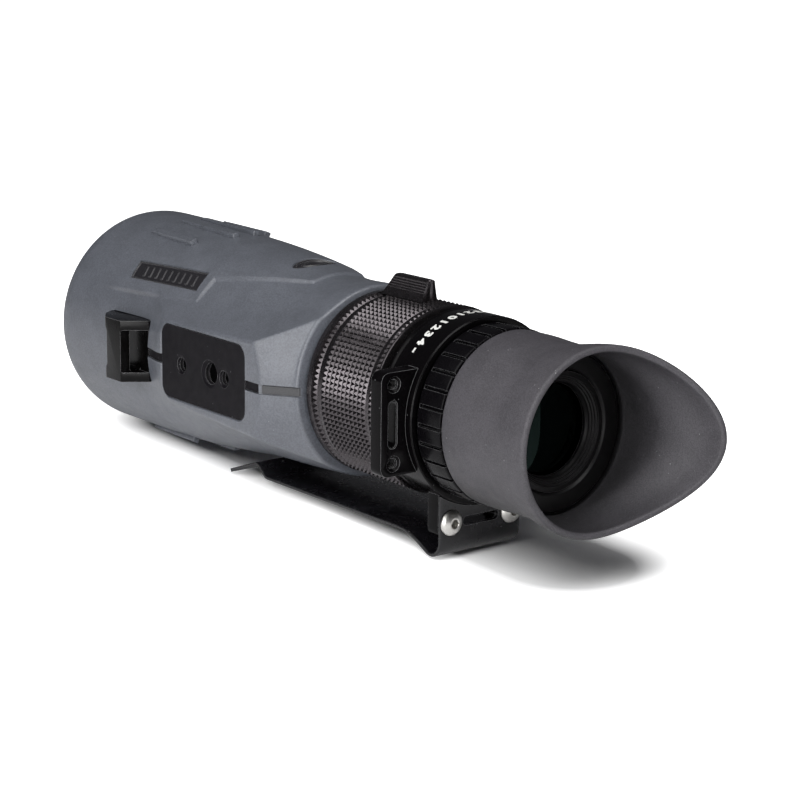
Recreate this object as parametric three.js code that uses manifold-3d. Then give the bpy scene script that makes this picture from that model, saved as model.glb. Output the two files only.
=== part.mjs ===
// Compact straight-view spotting scope with a roof prism, an internal focusing lens,
// a reticle, a winged rubber eyecup and a spring belt clip. Millimetres, +Z up.
// Every piece is drawn about the optical axis (x = z = 0, +Y towards the objective,
// y = 0 at the front edge of the focus ring), and the last lines shift the whole
// scope so that its origin lies on the left mounting plate's outer face.
import * as THREE from 'three';
import { mergeVertices } from 'three/addons/utils/BufferGeometryUtils.js';
import Module from 'manifold-3d';

const wasm = await Module();
wasm.setup();

// ---------------------------------------------------------------- driving dimensions
const FACETS = 32; // facets round the optical axis on the large turned pieces
const FINE_FACETS = 24; // and on the small ones inside
const GAP = 0.2; // clearance between pieces that touch or turn on each other

const RING_R = 31; // focus ring
const RING_LENGTH = 35.8;
const NECK_R = 27; // neck of the main tube, which the focus ring turns on
const NECK_BORE_R = 24;
const NECK_END_Y = -46;

const BODY_REAR_Y = 0.8; // armour, from the focus ring to the front lip
const BODY_FRONT_Y = 145.7;
const ARMOUR_THICKNESS = 3.3;
const SADDLE_RISE = 1.2; // the raised panel over the top of the armour
// [y, radius] of the armour's crest along the body
const BODY_CURVE = [
  [BODY_REAR_Y, 32.4], [24.8, 33.4], [49.6, 36.1], [74.4, 38.2],
  [100, 39.5], [127, 40.3], [136, 40.3],
];

const PLATE_X = 40.6; // mounting plates, one on each side of the body
const PLATE_THICKNESS = 3.2;
const PLATE_REAR_Y = 20.8;
const PLATE_FRONT_Y = 71.6;
const PLATE_HALF_HEIGHT = 12.9;
const PLATE_RECESS = 0.3; // how far the plate sits below the armour round it
const ORIGIN_Y = 51; // origin on the left plate, between two of its holes
const TONGUE_HALF_HEIGHT = 1.55; // narrow tongues ahead of and behind the plate
const TONGUE_REAR_Y = 12.8;
const TONGUE_DROP = 0.4; // how far the tongues sit below the plate's face
const TONGUE_BEND = { y: 75.5, endX: 38.4 }; // the front one then runs down to the lug
const PAD_HALF_HEIGHT = 11; // pad on the main tube that carries a plate
// tripod threads in each plate: a three-eighths-inch one between two quarter-inch ones
const TRIPOD_HOLES = [{ y: 33.5, r: 3.1 }, { y: 41.7, r: 4.5 }, { y: 59.5, r: 3.1 }];

const LUG_REAR_Y = 83.7; // strap lugs ahead of the plates
const LUG_FRONT_Y = 108.6;
const LUG_BASE_X = 36.3;
const LUG_HALF_HEIGHT = 11;
// Plan of a lug's upper and lower walls beyond its base, as [x, y] on the right side.
const LUG_WALL = [[38.6, 83.7], [46.6, 89.5], [46.6, 98.6], [45.6, 101.2], [42, 106], [38.4, 108.6]];
const LUG_WINDOW = { x0: 38.3, x1: 42.8, half: 7.65 };
const LUG_BAR_FRONT_Y = 98.6;

const HOUSING_FRONT_Y = -36.9; // eyepiece housing and its three strap brackets
const HOUSING_REAR_Y = -54;
const HOUSING_R = 30.4;
const BRACKET_FRONT_Y = -46.1;
const BRACKET_REAR_Y = -51.5;
const BRACKET_OUTER = 39.9;
const BRACKET_HALF_WIDTH = 16.6;
const BRACKET_HOLE = { radius: 34.9, side: 12.5, r: 2.1 };
const BRACKET_SLOT = { inner: 33.8, outer: 36.9, half: 7.4 };

const SLEEVE_R = 24.6; // rear sleeve of the housing
const SLEEVE_BORE_R = 22.2;
const SLEEVE_END_Y = -70;
const DIOPTER_FRONT_Y = -54.5;
const DIOPTER_REAR_Y = -65.6;
const DIOPTER_R = 28.5;
const DIOPTER_RIBS = 30;

const EYECUP_FRONT_Y = -66;
const EYECUP_RIM_Y = -103.8; // rim on the short side
const EYECUP_WING = 21.5; // how much further back the wing reaches
const EYECUP_RIM_R = 28.7;
const EYECUP_WING_FLARE = 5.5;
const EYECUP_WING_POWER = 5.6;
const EYECUP_FLARE_POWER = 3;
const EYE_FACE_Y = -87.8; // flat rear face of the ocular barrel

const FOCUS_TRAVEL = 4; // each way, for FOCUS_TURN of the ring each way
const FOCUS_TURN = THREE.MathUtils.degToRad(150);
const FOCUS_PIN_Y = -18;
const FOCUS_PIN_R = 1.5;

const CLIP_THICKNESS = 1.3; // spring steel belt clip under the scope
const CLIP_HALF_WIDTH = 16.6;
const CLIP_FLAT_Z = -40.7;
const SCREW_SHANK_R = 1.9; // the two button-head screws that hold the clip
const SCREW_SHANK_LENGTH = 6.6;
const SCREW_HEAD_R = 4.25;
const SCREW_SOCKET_R = 1.45;

// ------------------------------------------------------------------------- materials
const finish = (color, roughness, metalness) =>
  new THREE.MeshStandardMaterial({ color, roughness, metalness });
const rubberGrey = finish(0x7c7e83, 0.75, 0);
const rubberDark = finish(0x3b3b3e, 0.85, 0);
const anodised = finish(0x1d1d1f, 0.4, 0.6);
const plateBlack = finish(0x2a2a2c, 0.6, 0.4);
const satinBlack = finish(0x17171a, 0.45, 0.2);
const brushedInside = finish(0x6f7275, 0.5, 0.8);
const springBlack = finish(0x121214, 0.3, 0.5);
const stainless = finish(0xc9c9c6, 0.25, 1);
const brass = finish(0xb08d4a, 0.35, 1);
const glass = finish(0xbfe3d8, 0.05, 0);
const sealBlack = finish(0x0c0c0d, 0.8, 0);

// --------------------------------------------------------------------- solid helpers
// A closed, position-only copy of a geometry with its faces pointing out.
function closed(geometry) {
  const bare = geometry.index ? geometry.toNonIndexed() : geometry.clone();
  for (const name of Object.keys(bare.attributes)) {
    if (name !== 'position') bare.deleteAttribute(name);
  }
  const merged = mergeVertices(bare, 1e-4);
  const source = merged.index.array;
  const kept = [];
  for (let i = 0; i < source.length; i += 3) {
    const [a, b, c] = [source[i], source[i + 1], source[i + 2]];
    if (a !== b && b !== c && c !== a) kept.push(a, b, c);
  }
  merged.setIndex(kept);
  if (volume(merged) < 0) merged.setIndex(flipped(kept));
  return merged;
}

function flipped(index) {
  const out = [];
  for (let i = 0; i < index.length; i += 3) out.push(index[i], index[i + 2], index[i + 1]);
  return out;
}

function volume(geometry) {
  const { position } = geometry.attributes;
  const corner = (i) => new THREE.Vector3().fromBufferAttribute(position, geometry.index.getX(i));
  let sum = 0;
  for (let i = 0; i < geometry.index.count; i += 3) {
    sum += corner(i).dot(corner(i + 1).cross(corner(i + 2))) / 6;
  }
  return sum;
}

function toManifold(geometry) {
  const mesh = closed(geometry);
  return new wasm.Manifold(new wasm.Mesh({
    numProp: 3,
    vertProperties: new Float32Array(mesh.attributes.position.array),
    triVerts: new Uint32Array(mesh.index.array),
  }));
}

function fromManifold(solid) {
  const mesh = solid.getMesh();
  const geometry = new THREE.BufferGeometry();
  geometry.setAttribute('position', new THREE.BufferAttribute(mesh.vertProperties, 3));
  geometry.setIndex(new THREE.BufferAttribute(mesh.triVerts, 1));
  return geometry;
}

// The first geometry with others joined to it, and then others cut out of it.
function shaped(base, { add = [], cut = [] }) {
  let solid = toManifold(base);
  for (const piece of add) solid = solid.add(toManifold(piece));
  for (const piece of cut) solid = solid.subtract(toManifold(piece));
  return fromManifold(solid);
}

const common = (a, b) => fromManifold(toManifold(a).intersect(toManifold(b)));

// A turned solid from [radius, y] points. A profile off the axis is closed on itself.
function turned(profile, facets = FACETS) {
  const points = profile.map(([r, y]) => new THREE.Vector2(r, y));
  if (points[0].x > 0) points.push(points[0].clone());
  return closed(new THREE.LatheGeometry(points, facets));
}

function tube(outer, inner, y0, y1) {
  return turned([[outer, y0], [outer, y1], [inner, y1], [inner, y0]], FINE_FACETS);
}

function box(x0, x1, y0, y1, z0, z1) {
  const geometry = new THREE.BoxGeometry(x1 - x0, y1 - y0, z1 - z0);
  return geometry.translate((x0 + x1) / 2, (y0 + y1) / 2, (z0 + z1) / 2);
}

function outline(points, Kind = THREE.Shape) {
  return new Kind(points.map(([u, v]) => new THREE.Vector2(u, v)));
}

function roundedRect(u0, u1, v0, v1, radius, Kind = THREE.Shape) {
  const path = new Kind();
  path.absarc(u1 - radius, v0 + radius, radius, -Math.PI / 2, 0);
  path.absarc(u1 - radius, v1 - radius, radius, 0, Math.PI / 2);
  path.absarc(u0 + radius, v1 - radius, radius, Math.PI / 2, Math.PI);
  path.absarc(u0 + radius, v0 + radius, radius, Math.PI, 1.5 * Math.PI);
  path.closePath();
  return path;
}

const extruded = (shape, depth, curveSegments = 4) =>
  new THREE.ExtrudeGeometry(shape, { depth, bevelEnabled: false, curveSegments });

// Shape (u, v) drawn as (y, z) and extruded along X from x0 to x1.
function alongX(shape, x0, x1, curveSegments) {
  const basis = new THREE.Matrix4().makeBasis(
    new THREE.Vector3(0, 1, 0), new THREE.Vector3(0, 0, 1), new THREE.Vector3(1, 0, 0));
  return extruded(shape, x1 - x0, curveSegments).applyMatrix4(basis).translate(x0, 0, 0);
}

// Shape (u, v) drawn as (x, z) and extruded along Y from y0 to y1.
function alongY(shape, y0, y1, curveSegments) {
  return extruded(shape, y1 - y0, curveSegments).rotateX(Math.PI / 2).translate(0, y1, 0);
}

// Shape (u, v) drawn as (x, y) and extruded along Z from z0 to z1.
const alongZ = (shape, z0, z1, curveSegments) =>
  extruded(shape, z1 - z0, curveSegments).translate(0, 0, z0);

function rodX(r, x0, x1, y, z, sides = 16) {
  return new THREE.CylinderGeometry(r, r, x1 - x0, sides)
    .rotateZ(Math.PI / 2).translate((x0 + x1) / 2, y, z);
}

function rodY(r, y0, y1, x, z, sides = 16) {
  return new THREE.CylinderGeometry(r, r, y1 - y0, sides).translate(x, (y0 + y1) / 2, z);
}

const mirrored = (geometry) => closed(geometry).scale(-1, 1, 1);
const rolled = (geometry, degrees) => geometry.rotateY(THREE.MathUtils.degToRad(degrees));

function along(curve, y) {
  const last = curve[curve.length - 1];
  const i = curve.findIndex(([at], k) => k > 0 && y <= at);
  if (i < 0) return last[1];
  const [[y0, r0], [y1, r1]] = [curve[i - 1], curve[i]];
  return r0 + ((r1 - r0) * (y - y0)) / (y1 - y0);
}

const bodyRadius = (y) => along(BODY_CURVE, y);
const tubeRadius = (y) => bodyRadius(y) - ARMOUR_THICKNESS;

// A lens between two curved faces; a positive bulge makes a face convex.
function lens(radius, rearY, rearBulge, frontY, frontBulge) {
  const STEPS = 2;
  const profile = [];
  for (let i = 0; i <= STEPS; i += 1) {
    const s = i / STEPS;
    profile.push([radius * s, rearY + rearBulge * s * s]);
  }
  for (let i = STEPS; i >= 0; i -= 1) {
    const s = i / STEPS;
    profile.push([radius * s, frontY - frontBulge * s * s]);
  }
  return turned(profile, FINE_FACETS);
}

function sealRing(centreRadius, y, thickness) {
  const SIDES = 6;
  const profile = [];
  for (let i = 0; i < SIDES; i += 1) {
    const angle = (2 * Math.PI * i) / SIDES;
    profile.push([centreRadius + thickness * Math.cos(angle), y + thickness * Math.sin(angle)]);
  }
  return turned(profile);
}

// ------------------------------------------------------------------------ scene graph
const scope = new THREE.Group();

function piece(name, geometry, material) {
  const mesh = new THREE.Mesh(closed(geometry), material);
  mesh.geometry.computeVertexNormals();
  mesh.name = name;
  scope.add(mesh);
}

function pair(name, leftGeometry, material) {
  const left = closed(leftGeometry);
  piece(`left_${name}`, left, material);
  piece(`right_${name}`, mirrored(left), material);
}

// ------------------------------------------------------------------------- main tube
const SEAT_Y = 118; // ledge that the objective cell butts against
const CELL_BORE_R = 34.6;
const TUBE_FRONT_Y = 141;
const SEAL_SEATS = [-3, -33]; // grooves for the focus ring's two seals

function mainTube() {
  const outside = BODY_CURVE.slice(1).map(([y]) => [tubeRadius(y) - GAP, y]);
  const groove = (y) => [[NECK_R, y - 1], [NECK_R - 1, y - 1], [NECK_R - 1, y + 1], [NECK_R, y + 1]];
  const inside = BODY_CURVE.filter(([y]) => y > 20 && y < SEAT_Y)
    .map(([y]) => [tubeRadius(y) - 3.2, y]).reverse();
  const shell = turned([
    [26.6, NECK_END_Y], [26.6, -37], [NECK_R, -36.5],
    ...groove(SEAL_SEATS[1]), ...groove(SEAL_SEATS[0]),
    [NECK_R, 0.6], [tubeRadius(BODY_REAR_Y) - GAP, 0.6],
    ...outside, [tubeRadius(136) - GAP, TUBE_FRONT_Y],
    [CELL_BORE_R, TUBE_FRONT_Y], [CELL_BORE_R, SEAT_Y], [33.2, SEAT_Y],
    ...inside, [26.4, 4], [NECK_BORE_R, 3], [NECK_BORE_R, NECK_END_Y],
  ]);
  const add = [];
  const cut = [];
  for (const side of [-1, 1]) {
    const at = (x0, x1) => (side < 0 ? [-x1, -x0] : [x0, x1]);
    const plateBack = PLATE_X - PLATE_THICKNESS - GAP;
    add.push(box(...at(30.5, plateBack), PLATE_REAR_Y + 1.2, PLATE_FRONT_Y - 1.2,
      -PAD_HALF_HEIGHT, PAD_HALF_HEIGHT));
    add.push(box(...at(33.5, LUG_BASE_X - GAP), LUG_REAR_Y + 2, LUG_FRONT_Y - 2, -8, 8));
    for (const hole of TRIPOD_HOLES) {
      cut.push(rodX(hole.r, ...at(33.5, 40), hole.y, 0));
    }
  }
  // guide slot for the focusing lens's drive pin
  const reach = FOCUS_TRAVEL + FOCUS_PIN_R + GAP;
  const half = FOCUS_PIN_R + GAP;
  cut.push(box(-half, half, FOCUS_PIN_Y - reach, FOCUS_PIN_Y + reach, 20, 30));
  return shaped(shell, { add, cut });
}

// --------------------------------------------------------------------- rubber armour
// Half section of the raised side boss round a mounting plate, as [x, z], and the turned
// envelope, as [radius, y], whose cones end it behind and ahead of the plate.
const BOSS_FACE_X = PLATE_X + PLATE_RECESS;
const BOSS_HALF_HEIGHT = 15;
const BOSS_SECTION = [
  [0, -27], [17, -27], [BOSS_FACE_X, -BOSS_HALF_HEIGHT], [BOSS_FACE_X, BOSS_HALF_HEIGHT],
  [17, 27], [0, 27],
];
const BOSS_ENVELOPE = [[0, BODY_REAR_Y], [33, BODY_REAR_Y], [46, 19], [46, 61], [38.4, 85], [0, 85]];
// Side outline of the raised top panel, as [y, z].
const SADDLE_SIDE = [[23.4, 45], [23.4, 31], [46, 30.5], [62, 28.5], [62, 20], [120, 19], [120, 45]];
const LABEL = { y0: 66, y1: 105.5, half: 4.35, roll: -47 };
const BADGE = { y: 37, half: 9, depth: 4 }; // an oval, longer across the body
// grip ribs moulded in the armour: sideways place, rear end, front end
const RIBS = [[4.35, 78.3, 112.5], [16.2, 88, 115]];

function armourShell(drop) {
  const skin = BODY_CURVE.map(([y, r]) => [r - drop, y]);
  const lining = BODY_CURVE.map(([y, r]) => [r - ARMOUR_THICKNESS + GAP / 2, y]).reverse();
  return turned([
    ...skin, [39.9 - drop, 140.5], [38.8 - drop, 143.8], [37 - drop, 145.5], [35.6, BODY_FRONT_Y],
    [34.4, 145.2], [33.9, 144], [33.9, TUBE_FRONT_Y + GAP], [37.1, TUBE_FRONT_Y + GAP], ...lining,
  ]);
}

function saddle() {
  return common(armourShell(0), alongX(outline(SADDLE_SIDE), -45, 45));
}

function rib([x, rear, front]) {
  const length = front - rear;
  const middle = (front + rear) / 2;
  const rise = 1.2;
  const top = Math.sqrt(bodyRadius(middle) ** 2 - x * x) + rise;
  const slope = Math.atan2(bodyRadius(front) - bodyRadius(rear), length);
  return new THREE.BoxGeometry(2.4, length, 4)
    .rotateX(slope).translate(x, middle, top - 2);
}

function ovalPost(bottom, top) {
  const oval = new THREE.Shape().absellipse(0, BADGE.y, BADGE.half, BADGE.depth, 0, 2 * Math.PI);
  return alongZ(oval, bottom, top, 10);
}

function armour() {
  const add = [saddle()];
  const cut = [];
  const boss = common(alongY(outline(BOSS_SECTION), 0, 90), turned(BOSS_ENVELOPE));
  const plateSpace = alongX(roundedRect(PLATE_REAR_Y - GAP, PLATE_FRONT_Y + GAP,
    -PLATE_HALF_HEIGHT - GAP, PLATE_HALF_HEIGHT + GAP, 4.4), PLATE_X - PLATE_THICKNESS - GAP, 45);
  const padSpace = box(25, 45, PLATE_REAR_Y + 1, PLATE_FRONT_Y - 1,
    -PAD_HALF_HEIGHT - GAP, PAD_HALF_HEIGHT + GAP);
  const tongueSpace = box(37.3, 45, TONGUE_REAR_Y - GAP, LUG_REAR_Y + 1,
    -TONGUE_HALF_HEIGHT - GAP, TONGUE_HALF_HEIGHT + GAP);
  const lugSpace = box(32, 50, LUG_REAR_Y - GAP, LUG_FRONT_Y + GAP,
    -LUG_HALF_HEIGHT - GAP, LUG_HALF_HEIGHT + GAP);
  add.push(boss, mirrored(boss));
  for (const space of [plateSpace, padSpace, tongueSpace, lugSpace]) {
    cut.push(space, mirrored(space));
  }
  for (const place of RIBS) {
    const upper = rib(place);
    add.push(upper, mirrored(upper));
    const lower = closed(rib(place)).scale(1, 1, -1);
    add.push(lower, mirrored(lower));
  }
  cut.push(labelBlock(-1.5, 5, GAP), ovalPost(32.5, 40));
  // the bore is opened last, because the bosses and ribs reach into it
  const bore = turned([
    [0, BODY_REAR_Y - 1], [tubeRadius(BODY_REAR_Y) + GAP / 2, BODY_REAR_Y - 1],
    ...BODY_CURVE.map(([y]) => [tubeRadius(y) + GAP / 2, y]),
    [37.1, TUBE_FRONT_Y + GAP], [0, TUBE_FRONT_Y + GAP],
  ]);
  cut.push(bore);
  return shaped(armourShell(SADDLE_RISE / 2), { add, cut });
}

// A strip of the body's skin between two depths, where the label sits.
function labelBlock(bottom, top, extra) {
  const curve = [LABEL.y0 - extra, 74.4, 100, LABEL.y1 + extra];
  const skin = turned([
    ...curve.map((y) => [bodyRadius(y) + top, y]),
    ...curve.map((y) => [bodyRadius(y) + bottom, y]).reverse(),
  ]);
  const half = LABEL.half + extra;
  const window = rolled(box(-half, half, LABEL.y0 - extra, LABEL.y1 + extra, 20, 50), LABEL.roll);
  return common(skin, window);
}

function badge() {
  const dome = turned([[0, 30], [bodyRadius(30) - 0.3, 30], [bodyRadius(44) - 0.3, 44], [0, 44]]);
  const inset = new THREE.Shape().absellipse(
    0, BADGE.y, BADGE.half - GAP, BADGE.depth - GAP, 0, 2 * Math.PI);
  return common(alongZ(inset, 32.5 + GAP, 40, 10), dome);
}

// ------------------------------------------------------------ side plates and lugs
function mountPlate() {
  const face = roundedRect(PLATE_REAR_Y, PLATE_FRONT_Y, -PLATE_HALF_HEIGHT, PLATE_HALF_HEIGHT, 4.2);
  const back = -PLATE_X + PLATE_THICKNESS;
  const plate = alongX(face, -PLATE_X, back);
  const tongue = alongZ(outline([
    [back, TONGUE_REAR_Y], [-PLATE_X + TONGUE_DROP, TONGUE_REAR_Y],
    [-PLATE_X + TONGUE_DROP, TONGUE_BEND.y], [-TONGUE_BEND.endX, LUG_REAR_Y - GAP],
    [back, LUG_REAR_Y - GAP],
  ]), -TONGUE_HALF_HEIGHT, TONGUE_HALF_HEIGHT);
  const holes = TRIPOD_HOLES.map((hole) => rodX(hole.r, -PLATE_X - 1, back + 1, hole.y, 0));
  return shaped(plate, { add: [tongue], cut: holes });
}

function strapLug() {
  const plan = LUG_WALL.map(([x, y]) => [-x, y]);
  const base = box(-LUG_WINDOW.x0 - 0.1, -LUG_BASE_X, LUG_REAR_Y, LUG_FRONT_Y,
    -LUG_HALF_HEIGHT, LUG_HALF_HEIGHT);
  const walls = alongZ(outline([[-37, LUG_REAR_Y], ...plan, [-37, LUG_FRONT_Y]]),
    -LUG_HALF_HEIGHT, LUG_HALF_HEIGHT);
  const { x0, x1, half } = LUG_WINDOW;
  const window = alongY(roundedRect(-x1, -x0, -half, half, 0.8), LUG_REAR_Y - 1, LUG_FRONT_Y + 1);
  const aheadOfBar = box(-55, -x0, LUG_BAR_FRONT_Y, LUG_FRONT_Y + 1, -half, half);
  const behindBar = box(-55, -x0, LUG_REAR_Y - 1, LUG_WALL[1][1], -half, half);
  return shaped(base, { add: [walls], cut: [window, aheadOfBar, behindBar] });
}

// ------------------------------------------------------------------ objective group
const CELL_R = CELL_BORE_R - 0.3;
const OBJECTIVE_R = 26.3;

function objectiveCell() {
  return turned([
    [CELL_R, SEAT_Y + GAP], [CELL_R, 124], [33, 124], [33, 126], [CELL_R, 126], [CELL_R, 139],
    [26.6, 139], [26.6, 120.3], [25.3, 120.3], [25.3, SEAT_Y + GAP],
  ]);
}

// ------------------------------------------------------------------------ prism group
const CAGE = { rear: 8, front: 47, halfX: 15, halfZ: 18.5, wall: 2 };

function prismCage() {
  const { rear, front, halfX, halfZ, wall } = CAGE;
  const frame = box(-halfX, halfX, rear, front, -halfZ, halfZ);
  const flange = turned([[0, 44], [28.6, 44], [28.6, front], [0, front]]);
  const bay = box(-halfX + wall, halfX - wall, rear - 1, front + 1, -halfZ + wall, halfZ - wall);
  const sideWindow = box(-halfX - 1, halfX + 1, rear + 6, front - 8, -10, 10);
  return shaped(frame, { add: [flange], cut: [bay, sideWindow] });
}

// Side outlines as [y, z]; the two prisms face each other across a thin slanted gap.
const FIRST_PRISM = [[45, 14], [45, -14], [37.5, -14], [18.5, 5], [27.5, 14]];
const ROOF_PRISM = [[36.9, -14], [17.9, 5], [12, -0.9], [12, -14]];

// ----------------------------------------------------------------- focusing mechanism
// A band that winds round the optical axis, used to cut the ring's cam groove.
function helix(innerR, outerR, halfWidth) {
  const STEPS = 36;
  const SPAN = FOCUS_TURN + 0.16; // run-out past each end of the pin's travel
  const rise = -FOCUS_TRAVEL / FOCUS_TURN;
  const points = [];
  for (let i = 0; i <= STEPS; i += 1) {
    const turn = -SPAN + (2 * SPAN * i) / STEPS;
    const y = FOCUS_PIN_Y + rise * turn;
    for (const [r, side] of [[innerR, -1], [outerR, -1], [outerR, 1], [innerR, 1]]) {
      points.push(r * Math.sin(turn), y + side * halfWidth, r * Math.cos(turn));
    }
  }
  const index = [0, 1, 2, 0, 2, 3];
  for (let i = 0; i < STEPS; i += 1) {
    for (let k = 0; k < 4; k += 1) {
      const [a, b] = [4 * i + k, 4 * i + ((k + 1) % 4)];
      index.push(a, a + 4, b, b, a + 4, b + 4);
    }
  }
  const e = 4 * STEPS;
  index.push(e, e + 2, e + 1, e, e + 3, e + 2);
  const geometry = new THREE.BufferGeometry();
  geometry.setAttribute('position', new THREE.Float32BufferAttribute(points, 3));
  geometry.setIndex(index);
  return geometry;
}

const FOCUS_BORE_R = NECK_R + 0.25;

function focusRing() {
  const groove = (y) => [[RING_R, y + 0.5], [30.5, y + 0.3], [30.5, y - 0.3], [RING_R, y - 0.5]];
  const ring = turned([
    [30.4, -GAP], [RING_R, -0.8], ...groove(-7), ...groove(-31.6),
    [RING_R, -RING_LENGTH + 0.6], [30.4, -RING_LENGTH],
    [FOCUS_BORE_R, -RING_LENGTH], [FOCUS_BORE_R, -GAP],
  ]);
  return shaped(ring, { cut: [helix(FOCUS_BORE_R - 1, 28.8, FOCUS_PIN_R + GAP)] });
}

function focusTab() {
  const side = outline([[-2.5, 30], [-8.5, 37.8], [-26, 37.8], [-25.4, 30]]);
  const front = outline([[-3.1, 30], [-1.4, 34], [-1.35, 37.8], [1.35, 37.8], [1.4, 34], [3.1, 30]]);
  const fin = common(alongX(side, -5, 5), alongY(front, -30, 0));
  return shaped(fin, { cut: [tube(RING_R + GAP / 2, 20, -40, 5)] });
}

function focusCell() {
  const cell = turned([
    [23.8, -23], [23.8, -13], [20.6, -13], [20.6, -20.5], [19.4, -20.5], [19.4, -23],
  ], FINE_FACETS);
  const socket = new THREE.CylinderGeometry(1.65, 1.65, 6, 16)
    .rotateX(Math.PI / 2).translate(0, FOCUS_PIN_Y, 22.5);
  return shaped(cell, { cut: [socket] });
}

function focusPin() {
  const [inner, outer] = [20.9, 28.3];
  return new THREE.CylinderGeometry(FOCUS_PIN_R, FOCUS_PIN_R, outer - inner, 16)
    .rotateX(Math.PI / 2).translate(0, FOCUS_PIN_Y, (inner + outer) / 2);
}

// -------------------------------------------------------------------- eyepiece housing
// One strap bracket, drawn on the underside as [x, z].
function bracket() {
  const plate = roundedRect(-BRACKET_HALF_WIDTH, BRACKET_HALF_WIDTH, -BRACKET_OUTER, -26, 3);
  return alongY(plate, BRACKET_REAR_Y, BRACKET_FRONT_Y);
}

function bracketCuts() {
  const { inner, outer, half } = BRACKET_SLOT;
  const slot = roundedRect(-half, half, -outer, -inner, 1.5);
  const cuts = [alongY(slot, BRACKET_REAR_Y - 1, BRACKET_FRONT_Y + 1)];
  for (const side of [-1, 1]) {
    cuts.push(rodY(BRACKET_HOLE.r, BRACKET_REAR_Y - 1, BRACKET_FRONT_Y + 1,
      side * BRACKET_HOLE.side, -BRACKET_HOLE.radius));
  }
  return cuts;
}

function eyepieceHousing() {
  const shell = turned([
    [29.8, HOUSING_FRONT_Y], [HOUSING_R, HOUSING_FRONT_Y - 0.6], [HOUSING_R, HOUSING_REAR_Y + 0.8],
    [29.7, HOUSING_REAR_Y], [SLEEVE_R, HOUSING_REAR_Y], [SLEEVE_R, SLEEVE_END_Y],
    [SLEEVE_BORE_R, SLEEVE_END_Y], [SLEEVE_BORE_R, -46.3], [26.9, -46.3], [26.9, HOUSING_FRONT_Y],
  ]);
  const rolls = [-90, 0, 90];
  const bore = turned([[0, -60], [26.9, -60], [26.9, -40], [0, -40]]);
  const wings = rolls.map((roll) => shaped(rolled(bracket(), roll), { cut: [bore] }));
  const cut = rolls.flatMap((roll) => bracketCuts().map((shape) => rolled(shape, roll)));
  return shaped(shell, { add: wings, cut });
}

function diopterRing() {
  const ring = turned([
    [27.4, DIOPTER_FRONT_Y], [DIOPTER_R, DIOPTER_FRONT_Y - 0.8], [DIOPTER_R, DIOPTER_REAR_Y + 0.8],
    [27.7, DIOPTER_REAR_Y], [SLEEVE_R + GAP, DIOPTER_REAR_Y], [SLEEVE_R + GAP, DIOPTER_FRONT_Y],
  ]);
  const grooves = [];
  for (let i = 0; i < DIOPTER_RIBS; i += 1) {
    const groove = box(-0.55, 0.55, DIOPTER_REAR_Y - 1, DIOPTER_FRONT_Y - 1.4, 27.6, 30);
    grooves.push(rolled(groove, ((i + 0.5) * 360) / DIOPTER_RIBS));
  }
  return shaped(ring, { cut: grooves });
}

// -------------------------------------------------------------------- ocular and eyecup
const BARREL_R = 22;
const BARREL_BORE_R = 19.2;
const BARREL_SHOULDER_Y = -72.2;

function ocularBarrel() {
  return turned([
    [BARREL_R, -52], [BARREL_R, BARREL_SHOULDER_Y], [25.4, BARREL_SHOULDER_Y], [25.4, EYE_FACE_Y],
    [BARREL_BORE_R, EYE_FACE_Y], [BARREL_BORE_R, -54], [15, -54], [15, -52],
  ]);
}

function eyecupCarrier() {
  return turned([
    [SLEEVE_R + GAP, -66.2], [26.5, -66.2], [26.5, -87], [25.7, -87],
    [25.7, -70.4], [SLEEVE_R + GAP, -70.4],
  ]);
}

// The eyecup is turned at its base, and its rim reaches back into a wing on the +X side.
function eyecup() {
  const AROUND = 48;
  // share of the way to the rim, and how far the skin stands outside the base circle:
  // a waist in millimetres (negative), then a share of the rim's flare (positive)
  const outside = [[0, 0], [0.25, 0], [0.42, -0.5], [0.55, -0.7], [0.7, -0.3], [0.9, 0.7], [1, 1]];
  const OUTER_R = 28.1;
  const INNER_R = 26.7;
  const BORE_R = 25.95;
  const WAIST_BORE_R = 26.4; // keeps the wall more than a millimetre thick at the waist
  const wing = (angle) => (1 + Math.sin(angle)) / 2;
  const rimY = (angle) => EYECUP_RIM_Y - EYECUP_WING * wing(angle) ** EYECUP_WING_POWER;
  const rimR = (angle) => EYECUP_RIM_R + EYECUP_WING_FLARE * wing(angle) ** EYECUP_FLARE_POWER;
  const length = (angle) => rimY(angle) - EYECUP_FRONT_Y;
  const section = (angle) => {
    const flare = rimR(angle) - OUTER_R;
    const points = outside.map(([s, bulge]) =>
      [OUTER_R + (bulge > 0 ? bulge * flare : bulge), EYECUP_FRONT_Y + s * length(angle)]);
    const [rim, edge] = [rimR(angle), rimY(angle)];
    points.push([rim - 1, edge - 0.9], [rim - 2.2, edge]);
    points.push([OUTER_R + 0.4 * flare - 2.3, EYECUP_FRONT_Y + 0.8 * length(angle)]);
    points.push([WAIST_BORE_R, EYECUP_FRONT_Y + 0.7 * length(angle)]);
    points.push([BORE_R, -88.6], [INNER_R, -87.4], [INNER_R, EYECUP_FRONT_Y]);
    return points;
  };
  const positions = [];
  const index = [];
  const count = section(0).length;
  for (let i = 0; i < AROUND; i += 1) {
    const angle = (2 * Math.PI * i) / AROUND;
    for (const [r, y] of section(angle)) positions.push(r * Math.sin(angle), y, r * Math.cos(angle));
    for (let k = 0; k < count; k += 1) {
      const a = i * count + k;
      const b = i * count + ((k + 1) % count);
      const c = ((i + 1) % AROUND) * count + k;
      const d = ((i + 1) % AROUND) * count + ((k + 1) % count);
      index.push(a, b, c, c, b, d);
    }
  }
  const geometry = new THREE.BufferGeometry();
  geometry.setAttribute('position', new THREE.Float32BufferAttribute(positions, 3));
  geometry.setIndex(index);
  return geometry;
}

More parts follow.
